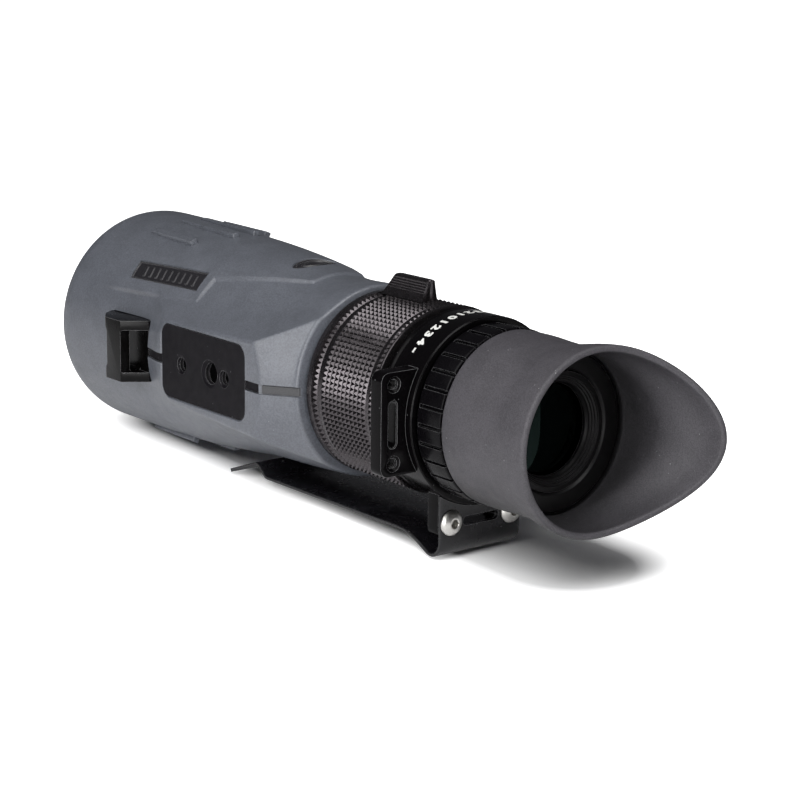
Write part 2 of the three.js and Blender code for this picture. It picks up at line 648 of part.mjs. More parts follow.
// --------------------------------------------------------------------------- belt clip
// Middle line of the bent sheet as [y, z], from the screw tab to the lead-in lip.
const TAB_Y = BRACKET_REAR_Y - GAP / 2 - CLIP_THICKNESS / 2;
const CLIP_LINE = [
  [TAB_Y, -24], [TAB_Y, -41.2], [-51.7, -43.5], [-50.3, -45], [-48.5, -45.7], [-46.9, -45.7],
  [-45.6, -45.3], [-41.5, -43.2], [-38, -41.6], [-34, -40.9], [-30, CLIP_FLAT_Z],
  [42, CLIP_FLAT_Z], [44.5, -40], [47.3, -37.9], [48.6, -37.4], [50, -37.7], [65.2, -42.8],
];

const TAB_SLOT = { half: 7.4, z0: -36.9, z1: -33.8 }; // lightening slot between the screws

// The outline of a sheet of the clip's thickness that follows a middle line.
function sheet(line) {
  const offset = (side) => line.map(([y, z], i) => {
    const [py, pz] = line[Math.max(i - 1, 0)];
    const [ny, nz] = line[Math.min(i + 1, line.length - 1)];
    const before = new THREE.Vector2(y - py, z - pz).normalize();
    const after = new THREE.Vector2(ny - y, nz - z).normalize();
    const run = before.clone().add(after).normalize();
    const reference = before.length() > 0 ? before : after;
    const stretch = (side * CLIP_THICKNESS) / 2 / Math.abs(run.dot(reference));
    return [y - run.y * stretch, z + run.x * stretch];
  });
  return outline([...offset(1), ...offset(-1).reverse()]);
}

function beltClip() {
  const bent = alongX(sheet(CLIP_LINE), -CLIP_HALF_WIDTH, CLIP_HALF_WIDTH);
  const relief = turned([[0, -60], [30.8, -60], [30.8, -46], [0, -46]]);
  const holes = [-1, 1].map((side) =>
    rodY(2.3, -60, -48, side * BRACKET_HOLE.side, -BRACKET_HOLE.radius));
  const slot = alongY(roundedRect(-TAB_SLOT.half, TAB_SLOT.half, TAB_SLOT.z0, TAB_SLOT.z1, 1.5),
    -60, -48);
  return shaped(bent, { cut: [relief, slot, ...holes] });
}

// Button-head screw with a hexagon socket; its head sits against the clip's tab.
function clipScrew(side) {
  const seat = TAB_Y - CLIP_THICKNESS / 2 - 0.1;
  const screw = turned([
    [0, seat + SCREW_SHANK_LENGTH], [SCREW_SHANK_R, seat + SCREW_SHANK_LENGTH],
    [SCREW_SHANK_R, seat], [SCREW_HEAD_R, seat], [SCREW_HEAD_R - 0.15, seat - 0.7],
    [3.3, seat - 1.5], [2.1, seat - 2], [0, seat - 2.1],
  ], 24);
  const socket = new THREE.CylinderGeometry(SCREW_SOCKET_R, SCREW_SOCKET_R, 1.5, 6)
    .translate(0, seat - 1.9, 0);
  return shaped(screw, { cut: [socket] })
    .translate(side * BRACKET_HOLE.side, 0, -BRACKET_HOLE.radius);
}

// ---------------------------------------------------------------------------- assembly
piece('main_tube', mainTube(), brushedInside);
piece('rubber_armour', armour(), rubberGrey);
piece('label_inset', labelBlock(-1.3, -0.4, 0), plateBlack);
piece('badge_inset', badge(), plateBlack);
pair('mount_plate', mountPlate(), plateBlack);
pair('strap_lug', strapLug(), springBlack);

piece('objective_cell', objectiveCell(), anodised);
piece('objective_seal', sealRing(33.75, 125, 0.7), sealBlack);
piece('objective_crown', lens(OBJECTIVE_R, 126.4, 2.2, 134, 2.6), glass);
piece('objective_flint', lens(OBJECTIVE_R, 121.4, 0.6, 126.2, -2.2), glass);
piece('objective_retaining_ring', tube(26.4, 25, 132.2, 136.5), anodised);
piece('objective_lock_ring', tube(CELL_R, 27.5, 139.3, TUBE_FRONT_Y - 0.3), anodised);
piece('stray_light_baffle', turned([
  [31.8, 78], [31.8, 80], [21, 81.4], [21, 80.4], [30, 78],
]), satinBlack);

piece('prism_cage', prismCage(), brushedInside);
piece('first_prism', alongX(outline(FIRST_PRISM), -12.5, 12.5), glass);
piece('roof_prism', alongX(outline(ROOF_PRISM), -12.5, 12.5), glass);
piece('prism_clamp', box(-14, 14, 22, 30, CAGE.halfZ + 0.1, CAGE.halfZ + 1.1), stainless);

piece('focus_cell', focusCell(), anodised);
piece('focus_lens', lens(20.4, -19, -1.4, -17, -1.4), glass);
piece('focus_lens_ring', tube(20.4, 19.2, -15.3, -13.4), anodised);
piece('focus_pin', focusPin(), brass);
piece('focus_ring', focusRing(), anodised);
piece('focus_tab', focusTab(), anodised);
piece('focus_front_seal', sealRing(NECK_R - 0.45, SEAL_SEATS[0], 0.5), sealBlack);
piece('focus_rear_seal', sealRing(NECK_R - 0.45, SEAL_SEATS[1], 0.5), sealBlack);

piece('reticle_cell', turned([
  [23.8, -45.5], [23.8, -40], [10.4, -40], [10.4, -43.6], [9.2, -43.6], [9.2, -45.5],
], FINE_FACETS), anodised);
piece('reticle_glass', lens(10.2, -43.4, 0, -41, 0), glass);
piece('reticle_lock_ring', tube(23.8, 9.6, -39.8, -37.4), anodised);
piece('eyepiece_housing', eyepieceHousing(), satinBlack);
piece('diopter_ring', diopterRing(), satinBlack);

piece('ocular_barrel', ocularBarrel(), satinBlack);
piece('field_lens', lens(19, -60.4, 1.6, -56.2, 1.4), glass);
piece('ocular_spacer', tube(19, 17.4, -66, -61), anodised);
piece('ocular_doublet', lens(19, -74.6, 2.2, -67.4, -1.2), glass);
piece('eye_lens', lens(19, -82.8, 1.6, -75.2, 1.2), glass);
piece('eye_lens_retainer', turned([
  [19, -87.6], [19, -83.2], [14.6, -83.2], [14.6, -84.4], [17.1, -87.6],
], FINE_FACETS), satinBlack);
piece('eyecup_carrier', eyecupCarrier(), satinBlack);
piece('eyecup', eyecup(), rubberDark);

piece('belt_clip', beltClip(), springBlack);
piece('left_clip_screw', clipScrew(-1), stainless);
piece('right_clip_screw', clipScrew(1), stainless);

scope.position.set(PLATE_X, -ORIGIN_Y, 0);

export default scope;
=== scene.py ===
"""Compact roof-prism spotting scope: its visible surfaces, finishes, light and camera.

Shapes are drawn in millimetres about the optical axis: x to the right, y towards the
objective with y = 0 at the focus ring's front edge, z up. A turn is an angle about the
axis, from the top towards +X. new_object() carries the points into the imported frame.
"""

import math

import bmesh
import bpy
import numpy as np
from mathutils import Matrix, Vector


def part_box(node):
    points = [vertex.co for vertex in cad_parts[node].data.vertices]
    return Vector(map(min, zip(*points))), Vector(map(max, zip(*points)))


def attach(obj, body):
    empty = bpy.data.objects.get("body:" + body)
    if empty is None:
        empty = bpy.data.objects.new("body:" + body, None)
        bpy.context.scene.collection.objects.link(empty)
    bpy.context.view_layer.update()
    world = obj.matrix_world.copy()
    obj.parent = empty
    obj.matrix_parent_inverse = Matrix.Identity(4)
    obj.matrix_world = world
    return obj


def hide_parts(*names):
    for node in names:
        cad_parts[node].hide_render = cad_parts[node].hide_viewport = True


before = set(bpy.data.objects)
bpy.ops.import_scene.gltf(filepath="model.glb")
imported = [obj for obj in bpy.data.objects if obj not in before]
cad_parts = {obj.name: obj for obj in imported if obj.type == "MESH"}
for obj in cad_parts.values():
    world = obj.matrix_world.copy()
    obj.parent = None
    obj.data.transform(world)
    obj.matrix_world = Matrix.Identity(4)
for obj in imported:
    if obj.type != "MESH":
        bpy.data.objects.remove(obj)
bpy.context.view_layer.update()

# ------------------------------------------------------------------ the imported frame
MM = 0.001
RING_CLEARANCE = 0.2  # the focus ring's front edge is this far behind y = 0
ring_low, ring_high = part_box("focus_ring")
ORIGIN = Vector((
    (ring_low.x + ring_high.x) / 2,
    ring_high.y + RING_CLEARANCE * MM,
    (ring_low.z + ring_high.z) / 2,
))


class Extent:
    """How far a CAD node reaches, in millimetres about the optical axis."""

    def __init__(self, node):
        low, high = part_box(node)
        self.left, self.rear, self.bottom = (low - ORIGIN) / MM
        self.right, self.front, self.top = (high - ORIGIN) / MM


RING = Extent("focus_ring")
ARMOUR = Extent("rubber_armour")
PLATE = Extent("left_mount_plate")
LUG = Extent("left_strap_lug")
HOUSING = Extent("eyepiece_housing")
DIOPTER = Extent("diopter_ring")
BARREL = Extent("ocular_barrel")
RETAINER = Extent("eye_lens_retainer")
EYE_LENS = Extent("eye_lens")
CARRIER = Extent("eyecup_carrier")
EYECUP = Extent("eyecup")
CLIP = Extent("belt_clip")
SCREW = Extent("left_clip_screw")
TAB = Extent("focus_tab")
CELL = Extent("objective_cell")
CROWN = Extent("objective_crown")
LOCK = Extent("objective_lock_ring")
KEEPER = Extent("objective_retaining_ring")

# ------------------------------------------------------------------- mesh building
WELD = 2e-7  # metres
AROUND = 192  # steps round a large turned piece
FULL = 2 * math.pi


def linked(name, data):
    """A new object in the scene."""
    obj = bpy.data.objects.new(name, data)
    bpy.context.scene.collection.objects.link(obj)
    return obj


def in_frame(points):
    """Points in local millimetres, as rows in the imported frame."""
    return np.asarray(points, float).reshape(-1, 3) * MM + np.array(ORIGIN)


def tidy(obj):
    """Welds doubled points, drops loose edges and turns every face outwards."""
    mesh = bmesh.new()
    mesh.from_mesh(obj.data)
    bmesh.ops.remove_doubles(mesh, verts=mesh.verts, dist=WELD)
    loose = [edge for edge in mesh.edges if not edge.link_faces]
    bmesh.ops.delete(mesh, geom=loose, context="EDGES")
    bmesh.ops.recalc_face_normals(mesh, faces=mesh.faces)
    mesh.to_mesh(obj.data)
    mesh.free()
    return obj


def new_object(name, points, faces):
    """A tidy mesh object from points in local millimetres."""
    mesh = bpy.data.meshes.new(name)
    mesh.from_pydata(in_frame(points).tolist(), [], faces)
    return tidy(linked(name, mesh))


def bake(obj):
    """Applies the object's modifiers."""
    graph = bpy.context.evaluated_depsgraph_get()
    mesh = bpy.data.meshes.new_from_object(obj.evaluated_get(graph))
    obj.modifiers.clear()
    obj.data = mesh
    return obj


def combine(obj, operation, *tools):
    """Joins tools to obj or cuts them out of it, and removes them."""
    for tool in tools:
        modifier = obj.modifiers.new("combine", "BOOLEAN")
        modifier.operation = operation
        modifier.solver = "MANIFOLD"
        modifier.object = tool
    bake(obj)
    for tool in tools:
        bpy.data.objects.remove(tool)
    return obj


def bevelled(obj, width, segments):
    """Rounds the object's sharp edges by a width in millimetres."""
    modifier = obj.modifiers.new("bevel", "BEVEL")
    modifier.width = width * MM
    modifier.segments = segments
    modifier.limit_method = "ANGLE"
    modifier.angle_limit = math.radians(35)
    modifier.use_clamp_overlap = True
    return bake(obj)


def grid_faces(rows, columns, close_rows=True, close_columns=True):
    """Quads over a grid of points that is numbered row by row."""
    faces = []
    for i in range(rows if close_rows else rows - 1):
        low, high = i * columns, (i + 1) % rows * columns
        for j in range(columns if close_columns else columns - 1):
            k = (j + 1) % columns
            faces.append((low + j, low + k, high + k, high + j))
    return faces


def rounded(corners, closed=True, steps=6):
    """A polyline through (u, v) or (u, v, radius) corners, the radiused ones as arcs."""
    points = []
    for i, corner in enumerate(corners):
        here = np.array(corner[:2], float)
        radius = corner[2] if len(corner) > 2 else 0
        if not radius or (not closed and i in (0, len(corners) - 1)):
            points.append(here)
            continue
        before = np.array(corners[i - 1][:2], float) - here
        after = np.array(corners[(i + 1) % len(corners)][:2], float) - here
        room = min(np.linalg.norm(before), np.linalg.norm(after))
        before /= np.linalg.norm(before)
        after /= np.linalg.norm(after)
        half = math.acos(np.clip(before @ after, -1, 1)) / 2
        reach = min(radius / math.tan(half), 0.49 * room)
        middle = (before + after) / np.linalg.norm(before + after)
        centre = here + middle * reach / math.cos(half)
        start, end = here + before * reach - centre, here + after * reach - centre
        sweep = math.pi - 2 * half
        count = max(2, math.ceil(steps * sweep / (math.pi / 2)))
        for k in range(count + 1):
            share = k / count * sweep
            mix = start * math.sin(sweep - share) + end * math.sin(share)
            points.append(centre + mix / math.sin(sweep))
    return np.array(points)


def resampled(outline, spacing):
    """A closed outline with its long sides cut into steps of about a spacing."""
    points = []
    for a, b in zip(outline, np.roll(outline, -1, axis=0)):
        count = max(1, round(np.linalg.norm(b - a) / spacing))
        points += [a + (b - a) * k / count for k in range(count)]
    return np.array(points)


def inset(outline, distance):
    """A closed outline moved inwards by a distance, with mitred corners."""
    before = outline - np.roll(outline, 1, axis=0)
    after = np.roll(outline, -1, axis=0) - outline
    before /= np.linalg.norm(before, axis=1)[:, None]
    after /= np.linalg.norm(after, axis=1)[:, None]
    x, y = outline.T
    turning = np.sign(np.sum(x * np.roll(y, -1) - y * np.roll(x, -1)))
    inward = turning * np.stack([-before[:, 1] - after[:, 1], before[:, 0] + after[:, 0]], 1)
    return outline + distance * inward / (1 + np.sum(before * after, axis=1))[:, None]


def rectangle(u0, u1, v0, v1, radius, steps=6):
    corners = [(u0, v0, radius), (u1, v0, radius), (u1, v1, radius), (u0, v1, radius)]
    return rounded(corners, steps=steps)


def turns(count):
    """Evenly spaced turns, all the way round."""
    return np.linspace(0, FULL, count, endpoint=False)


def circle(u, v, radius, steps=48):
    turn = turns(steps)
    return np.stack([u + radius * np.cos(turn), v + radius * np.sin(turn)], 1)


# Where a drawing's (u, v) and its height go, by the axis that the height runs along.
LAYOUT = {"x": (2, 0, 1), "y": (0, 2, 1), "z": (0, 1, 2)}


def laid(outline, height, axis):
    """A flat outline as points in space, at a height along an axis."""
    flat = np.column_stack([outline, np.full(len(outline), float(height))])
    return flat[:, LAYOUT[axis]]


def stack(outline, levels, axis):
    """Loops of an outline at (height, inset) levels along an axis."""
    return [laid(inset(outline, step) if step else outline, height, axis)
            for height, step in levels]


def softened(half, edge=0.12):
    """Levels from -half to half with a small chamfer at both ends."""
    return [(-half, edge), (-half + edge, 0), (half - edge, 0), (half, edge)]


def lofted(name, *stacks):
    """A closed solid from stacks of loops: its outside, then any holes. The two ends
    of the stacks are filled."""
    mesh = bmesh.new()
    ends = ([], [])
    for loops in stacks:
        rings = []
        for loop in loops:
            rings.append([mesh.verts.new(point) for point in in_frame(loop)])
        for low, high in zip(rings, rings[1:]):
            for j, k in enumerate(np.roll(range(len(low)), -1)):
                mesh.faces.new((low[j], low[k], high[k], high[j]))
        for end, ring in zip(ends, (rings[0], rings[-1])):
            for j, k in enumerate(np.roll(range(len(ring)), -1)):
                end.append(mesh.edges.get((ring[j], ring[k])))
    for end in ends:
        bmesh.ops.triangle_fill(mesh, use_beauty=True, edges=end)
    bmesh.ops.recalc_face_normals(mesh, faces=mesh.faces)
    data = bpy.data.meshes.new(name)
    mesh.to_mesh(data)
    mesh.free()
    return linked(name, data)


def cutter(outline, levels, axis):
    """A tool that cuts an outline out between levels along an axis."""
    return lofted("cut", stack(outline, levels, axis))


def turned(name, corners, around=AROUND, centre=(0, 0), steps=6):
    """A solid turned about the Y axis through centre, from (radius, y) corners."""
    radius, y = rounded(corners, steps=steps).T[:, :, None]
    turn = turns(around)
    x = centre[0] + radius * np.sin(turn)
    z = centre[1] + radius * np.cos(turn)
    points = np.stack([x, y + 0 * turn, z], -1)
    return new_object(name, points, grid_faces(len(radius), around))


def lens(name, node, rear_bulge, front_bulge):
    """A lens in the place of a CAD node, whose faces bulge by a distance at the middle."""
    share = np.linspace(0, 1, 15)
    rear = np.stack([node.right * share, node.rear + rear_bulge * share * share], 1)
    front = np.stack([node.right * share, node.front - front_bulge * share * share], 1)
    return turned(name, [*rear, *front[::-1]])


def tapped(u, v, radius, pitch, bottom, top, axis, mouth=0.35):
    """The wall of a threaded hole, as a stack of loops from bottom to top."""
    depth = 0.6 * pitch
    low, high = sorted((bottom, top))
    heights = np.linspace(low, high, max(6, round((high - low) / pitch * 8)))
    turn = turns(48)
    loops = []
    for height in heights:
        wave = np.abs((height / pitch - turn / FULL) % 1 * 2 - 1)
        fade = min(1, (high - height) / mouth, (height - low) / mouth)
        flare = mouth * max(0, 1 - abs(top - height) / mouth)
        wall = radius - depth * wave * fade + flare
        outline = np.stack([u + wall * np.cos(turn), v + wall * np.sin(turn)], 1)
        loops.append(laid(outline, height, axis))
    return loops if top > bottom else loops[::-1]


def rolled(obj, degrees):
    """Turns a piece's mesh about the optical axis."""
    about = Matrix.Translation(ORIGIN)
    turn = Matrix.Rotation(math.radians(degrees), 4, "Y")
    obj.data.transform(about @ turn @ about.inverted())
    return obj


def mirrored(obj, name):
    """A copy of a piece on the other side of the scope."""
    copy = linked(name, obj.data.copy())
    about = Matrix.Translation(ORIGIN)
    copy.data.transform(about @ Matrix.Diagonal((-1, 1, 1, 1)) @ about.inverted())
    copy.data.flip_normals()
    return copy


def along(curve, y):
    """A smooth curve through (place, value) points."""
    at, value = np.array(curve, float).T
    slope = np.gradient(value, at)
    i = np.clip(np.searchsorted(at, y) - 1, 0, len(at) - 2)
    span = at[i + 1] - at[i]
    t = np.clip((y - at[i]) / span, 0, 1)
    start = value[i] * (1 + 2 * t) + slope[i] * span * t
    end = value[i + 1] * (3 - 2 * t) - slope[i + 1] * span * (1 - t)
    return start * (1 - t) ** 2 + end * t ** 2


def step(x, width):
    """Rises smoothly from 0 to 1 while x goes from -width / 2 to width / 2."""
    t = np.clip(x / width + 0.5, 0, 1)
    return t * t * (3 - 2 * t)


def soft_max(a, b, blend):
    near = np.maximum(blend - np.abs(a - b), 0) / blend
    return np.maximum(a, b) + near * near * blend / 4


def soft_min(a, b, blend):
    return -soft_max(-a, -b, blend)


def outline_distance(u, v, outline):
    """Distance from each point to a closed outline, positive inside it."""
    nearest = np.full(u.shape, 1e9)
    inside = np.zeros(u.shape, bool)
    for (au, av), (bu, bv) in zip(outline, np.roll(outline, -1, axis=0)):
        du, dv = bu - au, bv - av
        t = np.clip(((u - au) * du + (v - av) * dv) / (du * du + dv * dv), 0, 1)
        nearest = np.minimum(nearest, np.hypot(u - au - t * du, v - av - t * dv))
        if av != bv:
            inside ^= ((av > v) != (bv > v)) & (u < au + (v - av) * du / dv)
    return np.where(inside, nearest, -nearest)


def polar(radius, y, turn):
    return np.stack(np.broadcast_arrays(radius * np.sin(turn), y, radius * np.cos(turn)), -1)


# ----------------------------------------------------------------------- materials
def linear(level):
    """An 8-bit display level as linear light."""
    share = level / 255
    return share / 12.92 if share < 0.04045 else ((share + 0.055) / 1.055) ** 2.4


class Nodes:
    """Short calls for building a node tree."""

    def __init__(self, owner):
        owner.use_nodes = True
        self.tree = owner.node_tree
        self.tree.nodes.clear()

    def add(self, kind, inputs=None, **settings):
        node = self.tree.nodes.new("ShaderNode" + kind)
        for name, value in settings.items():
            setattr(node, name, value)
        for name, value in (inputs or {}).items():
            self.feed(node.inputs[name], value)
        return node

    def feed(self, socket, value):
        if isinstance(value, bpy.types.NodeSocket):
            self.tree.links.new(value, socket)
        else:
            socket.default_value = value

    def math(self, operation, a, b):
        return self.add("Math", {0: a, 1: b}, operation=operation).outputs[0]

    def plus(self, a, b):
        return self.math("ADD", a, b)

    def times(self, a, b):
        return self.math("MULTIPLY", a, b)

    def vector(self, operation, a, b=(0, 0, 0), output="Value"):
        return self.add("VectorMath", {0: a, 1: b}, operation=operation).outputs[output]

    def noise(self, place, size, detail=3.0, roughness=0.55):
        """Noise whose features are about a size in millimetres."""
        inputs = {"Vector": place, "Scale": 1 / (size * MM), "Detail": detail,
                  "Roughness": roughness}
        return self.add("TexNoise", inputs).outputs["Fac"]

    def remap(self, value, low, high, to_low=0.0, to_high=1.0):
        inputs = {"Value": value, "From Min": low, "From Max": high,
                  "To Min": to_low, "To Max": to_high}
        return self.add("MapRange", inputs).outputs[0]

    def mix(self, share, a, b):
        node = self.add("Mix", data_type="RGBA")
        self.feed(node.inputs["Factor"], share)
        self.feed(node.inputs[6], a)
        self.feed(node.inputs[7], b)
        return node.outputs[2]


def shade(colour, gain):
    return (*[min(1.0, channel * gain) for channel in colour], 1.0)


def finish(name, levels, roughness, metallic=0.0, mottle=0.12, grain=(0.3, 0.004),
           specks=0.0, edges=0.0, scuffs=0.0, streak=None, specular=0.5, painted_shade=None):
    """A surface: its colour in display levels, with mottling, grain as (size, height)
    in millimetres, pale specks, pale edges painted as highlights, faint scuffs and brushed
    streaks. Painted shade of (reach in millimetres, strength) darkens hollows by ambient occlusion."""
    colour = [linear(level) for level in levels]
    material = bpy.data.materials.new(name)
    n = Nodes(material)
    place = n.add("TexCoord").outputs["Object"]
    broad = n.noise(place, 9.0)
    fine = n.noise(place, grain[0] * 1.5, 2.0, 0.7)
    tone = n.plus(n.times(broad, 0.25), n.times(fine, 0.75))
    base = n.mix(n.remap(tone, 0.42, 0.58), shade(colour, 1 - mottle), shade(colour, 1 + mottle))
    rough = n.remap(n.noise(place, 3.5), 0.3, 0.7, roughness - 0.05, roughness + 0.06)
    if specks:
        cells = n.add("TexVoronoi", {"Vector": place, "Scale": 1 / (2.6 * MM), "Randomness": 1.0})
        spot = n.remap(cells.outputs["Distance"], 0.035, 0.075, 1.0, 0.0)
        chosen = n.remap(n.noise(place, 6.0, 1.0), 0.5, 0.56)
        base = n.mix(n.times(n.times(spot, chosen), specks), base, (0.55, 0.56, 0.57, 1))
    if scuffs:
        stretch = n.add("Mapping", {"Vector": place, "Scale": (1.0, 0.22, 1.0)}).outputs[0]
        line = n.remap(n.noise(stretch, 1.1, 6.0, 0.75), 0.62, 0.74)
        base = n.mix(n.times(line, scuffs), base, (0.4, 0.4, 0.41, 1))
    # painted highlight: rounded edges found by the bevel node are lightened, standing in for glints
    # along them
    if edges:
        soft = n.add("Bevel", {"Radius": 0.14 * MM}, samples=8).outputs[0]
        normal = n.add("NewGeometry").outputs["Normal"]
        bend = n.vector("DOT_PRODUCT", soft, normal)
        edge_highlight = n.times(n.remap(bend, 0.995, 0.93), n.remap(fine, 0.35, 0.6, 0.75, 1.0))
        base = n.mix(n.times(edge_highlight, edges), base, (0.42, 0.42, 0.43, 1))
    # painted shade: ambient occlusion darkens the colour in hollows, holes and sockets, where shade
    # falls
    if painted_shade:
        reach, strength = painted_shade
        open_air = n.add("AmbientOcclusion", {"Distance": reach * MM}, samples=8).outputs["AO"]
        base = n.mix(n.times(n.remap(open_air, 0.7, 0.2), strength), base, (0.0, 0.0, 0.0, 1))
    height = n.noise(place, grain[0], 4.0, 0.6)
    if streak:
        scale = tuple(1.0 if axis == streak else 14.0 for axis in "xyz")
        brushed = n.add("Mapping", {"Vector": place, "Scale": scale}).outputs[0]
        height = n.plus(height, n.noise(brushed, 2.0, 4.0))
    bump = n.add("Bump", {"Height": height, "Strength": 1.0, "Distance": grain[1] * MM})
    surface = n.add("BsdfPrincipled", {
        "Base Color": base, "Roughness": rough, "Metallic": metallic,
        "Specular IOR Level": specular, "Normal": bump.outputs[0],
    })
    n.add("OutputMaterial", {"Surface": surface.outputs[0]})
    return material


def glass_finish(name, tint, see_through):
    """Coated glass: tinted reflections over a dark or a clear body."""
    material = bpy.data.materials.new(name)
    n = Nodes(material)
    place = n.add("TexCoord").outputs["Object"]
    smear = n.remap(n.noise(place, 7.0, 5.0), 0.45, 0.75, 0.02, 0.07)
    facing = n.add("LayerWeight", {"Blend": 0.35}).outputs["Facing"]
    sheen = n.mix(facing, (*tint, 1), (0.75, 0.8, 0.85, 1))
    mirror = n.add("BsdfGlossy", {"Color": sheen, "Roughness": smear}).outputs[0]
    body = n.add("BsdfTransparent", {"Color": (*[see_through] * 3, 1)}).outputs[0]
    reflect = n.add("Fresnel", {"IOR": 1.45}).outputs[0]
    both = n.add("MixShader", {"Fac": reflect, 1: body, 2: mirror}).outputs[0]
    n.add("OutputMaterial", {"Surface": both})
    return material


# Edges paints highlights along rounded edges; each (reach, strength) pair for hollows paints shade
# into them, such as the eyecup's inside.
ARMOUR_FINISH = finish("armour rubber", (90, 93, 100), 0.4, mottle=0.16,
                       grain=(0.42, 0.09), specks=0.4, specular=0.8)
STRIP_FINISH = finish("strip rubber", (62, 62, 64), 0.5, grain=(0.3, 0.03))
EYECUP_FINISH = finish("eyecup rubber", (68, 66, 70), 0.55, mottle=0.2, grain=(0.3, 0.08),
                       specks=0.5, specular=0.45, painted_shade=(60, 0.95))
PLATE_FINISH = finish("plate black", (17, 15, 19), 0.5, mottle=0.08, grain=(0.2, 0.012),
                      specks=0.25, edges=0.5, specular=0.1, painted_shade=(3, 0.6))
LABEL_FINISH = finish("label black", (34, 33, 36), 0.32, mottle=0.08, grain=(0.2, 0.012),
                      edges=0.6)
LUG_FINISH = finish("lug black", (8, 7, 7), 0.22, mottle=0.15, grain=(0.4, 0.01),
                    specks=0.35, edges=0.8, specular=0.14, painted_shade=(6, 0.9))
RING_FINISH = finish("ring anodised", (80, 76, 78), 0.25, 0.95, mottle=0.14,
                     grain=(0.25, 0.006), edges=0.15, painted_shade=(0.8, 0.5))
HOUSING_FINISH = finish("housing black", (7, 6, 7), 0.22, specks=0.3, edges=0.8, specular=0.1,
                        painted_shade=(4, 0.97))
SATIN_FINISH = finish("ocular black", (9, 8, 9), 0.4, edges=0.2, specular=0.2)
GRIP_FINISH = finish("diopter grip", (8, 7, 9), 0.26, specks=0.2, edges=0.3, specular=0.13,
                     painted_shade=(1.2, 0.8))
CLIP_FINISH = finish("spring black", (16, 15, 18), 0.24, mottle=0.2, grain=(1.2, 0.008),
                     specks=0.6, edges=0.4, scuffs=0.08, specular=0.45)
STEEL_FINISH = finish("stainless", (215, 213, 208), 0.34, 1.0, mottle=0.06,
                      grain=(0.25, 0.004), edges=0.1, painted_shade=(1.5, 0.97))
BRASS_FINISH = finish("brass", (176, 141, 74), 0.32, 1.0, mottle=0.1, grain=(0.3, 0.005))
INNER_FINISH = finish("anodised aluminium", (46, 46, 48), 0.4, 0.9, mottle=0.1,
                      grain=(0.3, 0.006), edges=0.2, streak="x")
SEAL_FINISH = finish("seal rubber", (22, 22, 23), 0.6, mottle=0.15, grain=(0.2, 0.01))
MATT_FINISH = finish("baffle black", (18, 18, 18), 0.8, mottle=0.2, grain=(0.3, 0.02))
PAINT_FINISH = finish("white paint", (226, 226, 222), 0.5, mottle=0.04, grain=(0.15, 0.004))
EYE_GLASS = glass_finish("eye lens glass", (0.02, 0.13, 0.09), 0.02)
FRONT_GLASS = glass_finish("objective glass", (0.25, 0.6, 0.5), 0.85)
PRISM_GLASS = glass_finish("prism glass", (0.6, 0.7, 0.7), 0.8)


def dress(obj, body, slot, material, *nodes, sharp=32):
    """Smooths and finishes a piece, and fixes it to its CAD body."""
    obj.data.shade_smooth()
    obj.data.set_sharp_from_angle(angle=math.radians(sharp))
    obj.data.materials.clear()
    obj.data.materials.append(material)
    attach(obj, body)
    if nodes:
        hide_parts(*nodes)
    return obj


# --------------------------------------------------------------------------- armour
# (place along the axis, distance from it) of the skin on top, without the raised
# panel, and underneath
SKIN_TOP = [(0.8, 32.1), (24.8, 32.0), (37.2, 33.8), (62, 36.3), (93, 37.9), (127, 39.3),
            (146, 39.4)]
SKIN_BOTTOM = [(0.8, 32.9), (24.8, 34.4), (37.2, 34.8), (62, 36.9), (93, 39.1), (127, 39.5),
               (146, 39.5)]
# the main tube's outside, which the armour is moulded on
TUBE_OUTSIDE = [(0.8, 29.3), (24.8, 30.3), (49.6, 33), (74.4, 35.1), (100, 36.4), (127, 37.2),
                (141.2, 37.2)]
REAR_Y = 0.8
REAR_ROUND = 1.2
LIP_START_Y = 136
LIP_R, LIP_BORE_R = 35.6, 33.9  # the front lip's foremost edge and its bore
LEDGE_Y = 141.2
PANEL_R = 36  # radius at which the panel's outline is measured across
PANEL_RISE = 1.2
PANEL_EDGE = 1.5
# raised top panel, as (degrees from the top, place along the axis)
PANEL = [(-40, 23.3), (19, 23.3), (25, 31.4), (34, 46.3), (41.8, 61.9), (57.7, 61.9),
         (60.5, 88.4), (62.5, 112), (64, 140), (-40, 140)]
PANEL_OUTLINE = np.array([(math.radians(a) * PANEL_R, y) for a, y in PANEL])
BOSS_FACE = -PLATE.left + 0.3
SHOULDER_R, SHOULDER_SLOPE = 33, 0.71  # of the boss where it starts behind the plate
NOSE_Y, NOSE_SLOPE = 75.5, 0.28  # where the boss starts to sink ahead of the plate


def edge_height(y, above):
    """Half-height of the boss's flat face above or below the axis."""
    return 15.4 - 0.03 * (y - 12) if above else 17.4 - 0.06 * (y - 12)


def boss_radius(turn, y, body):
    """The raised flat-faced boss round a mounting plate."""
    side, up = np.abs(np.sin(turn)), np.cos(turn)
    rise = np.arctan2(up, side)
    surface = BOSS_FACE / np.maximum(side, 0.05)
    sunk = body - 0.7
    for above in (True, False):
        half = edge_height(y, above)
        reach = np.hypot(BOSS_FACE, half)
        lean = np.arctan2(half, BOSS_FACE) + np.arccos(np.clip(sunk / reach, -1, 1))
        swing = np.clip((rise if above else -rise) - lean, -1.4, 0)
        surface = soft_min(surface, sunk / np.cos(swing), 1.1)
    shoulder = SHOULDER_R + SHOULDER_SLOPE * (y - REAR_Y)
    nose = BOSS_FACE - NOSE_SLOPE * (y - NOSE_Y)
    surface = soft_min(surface, shoulder, 0.5)
    return soft_min(surface, nose, 0.8)


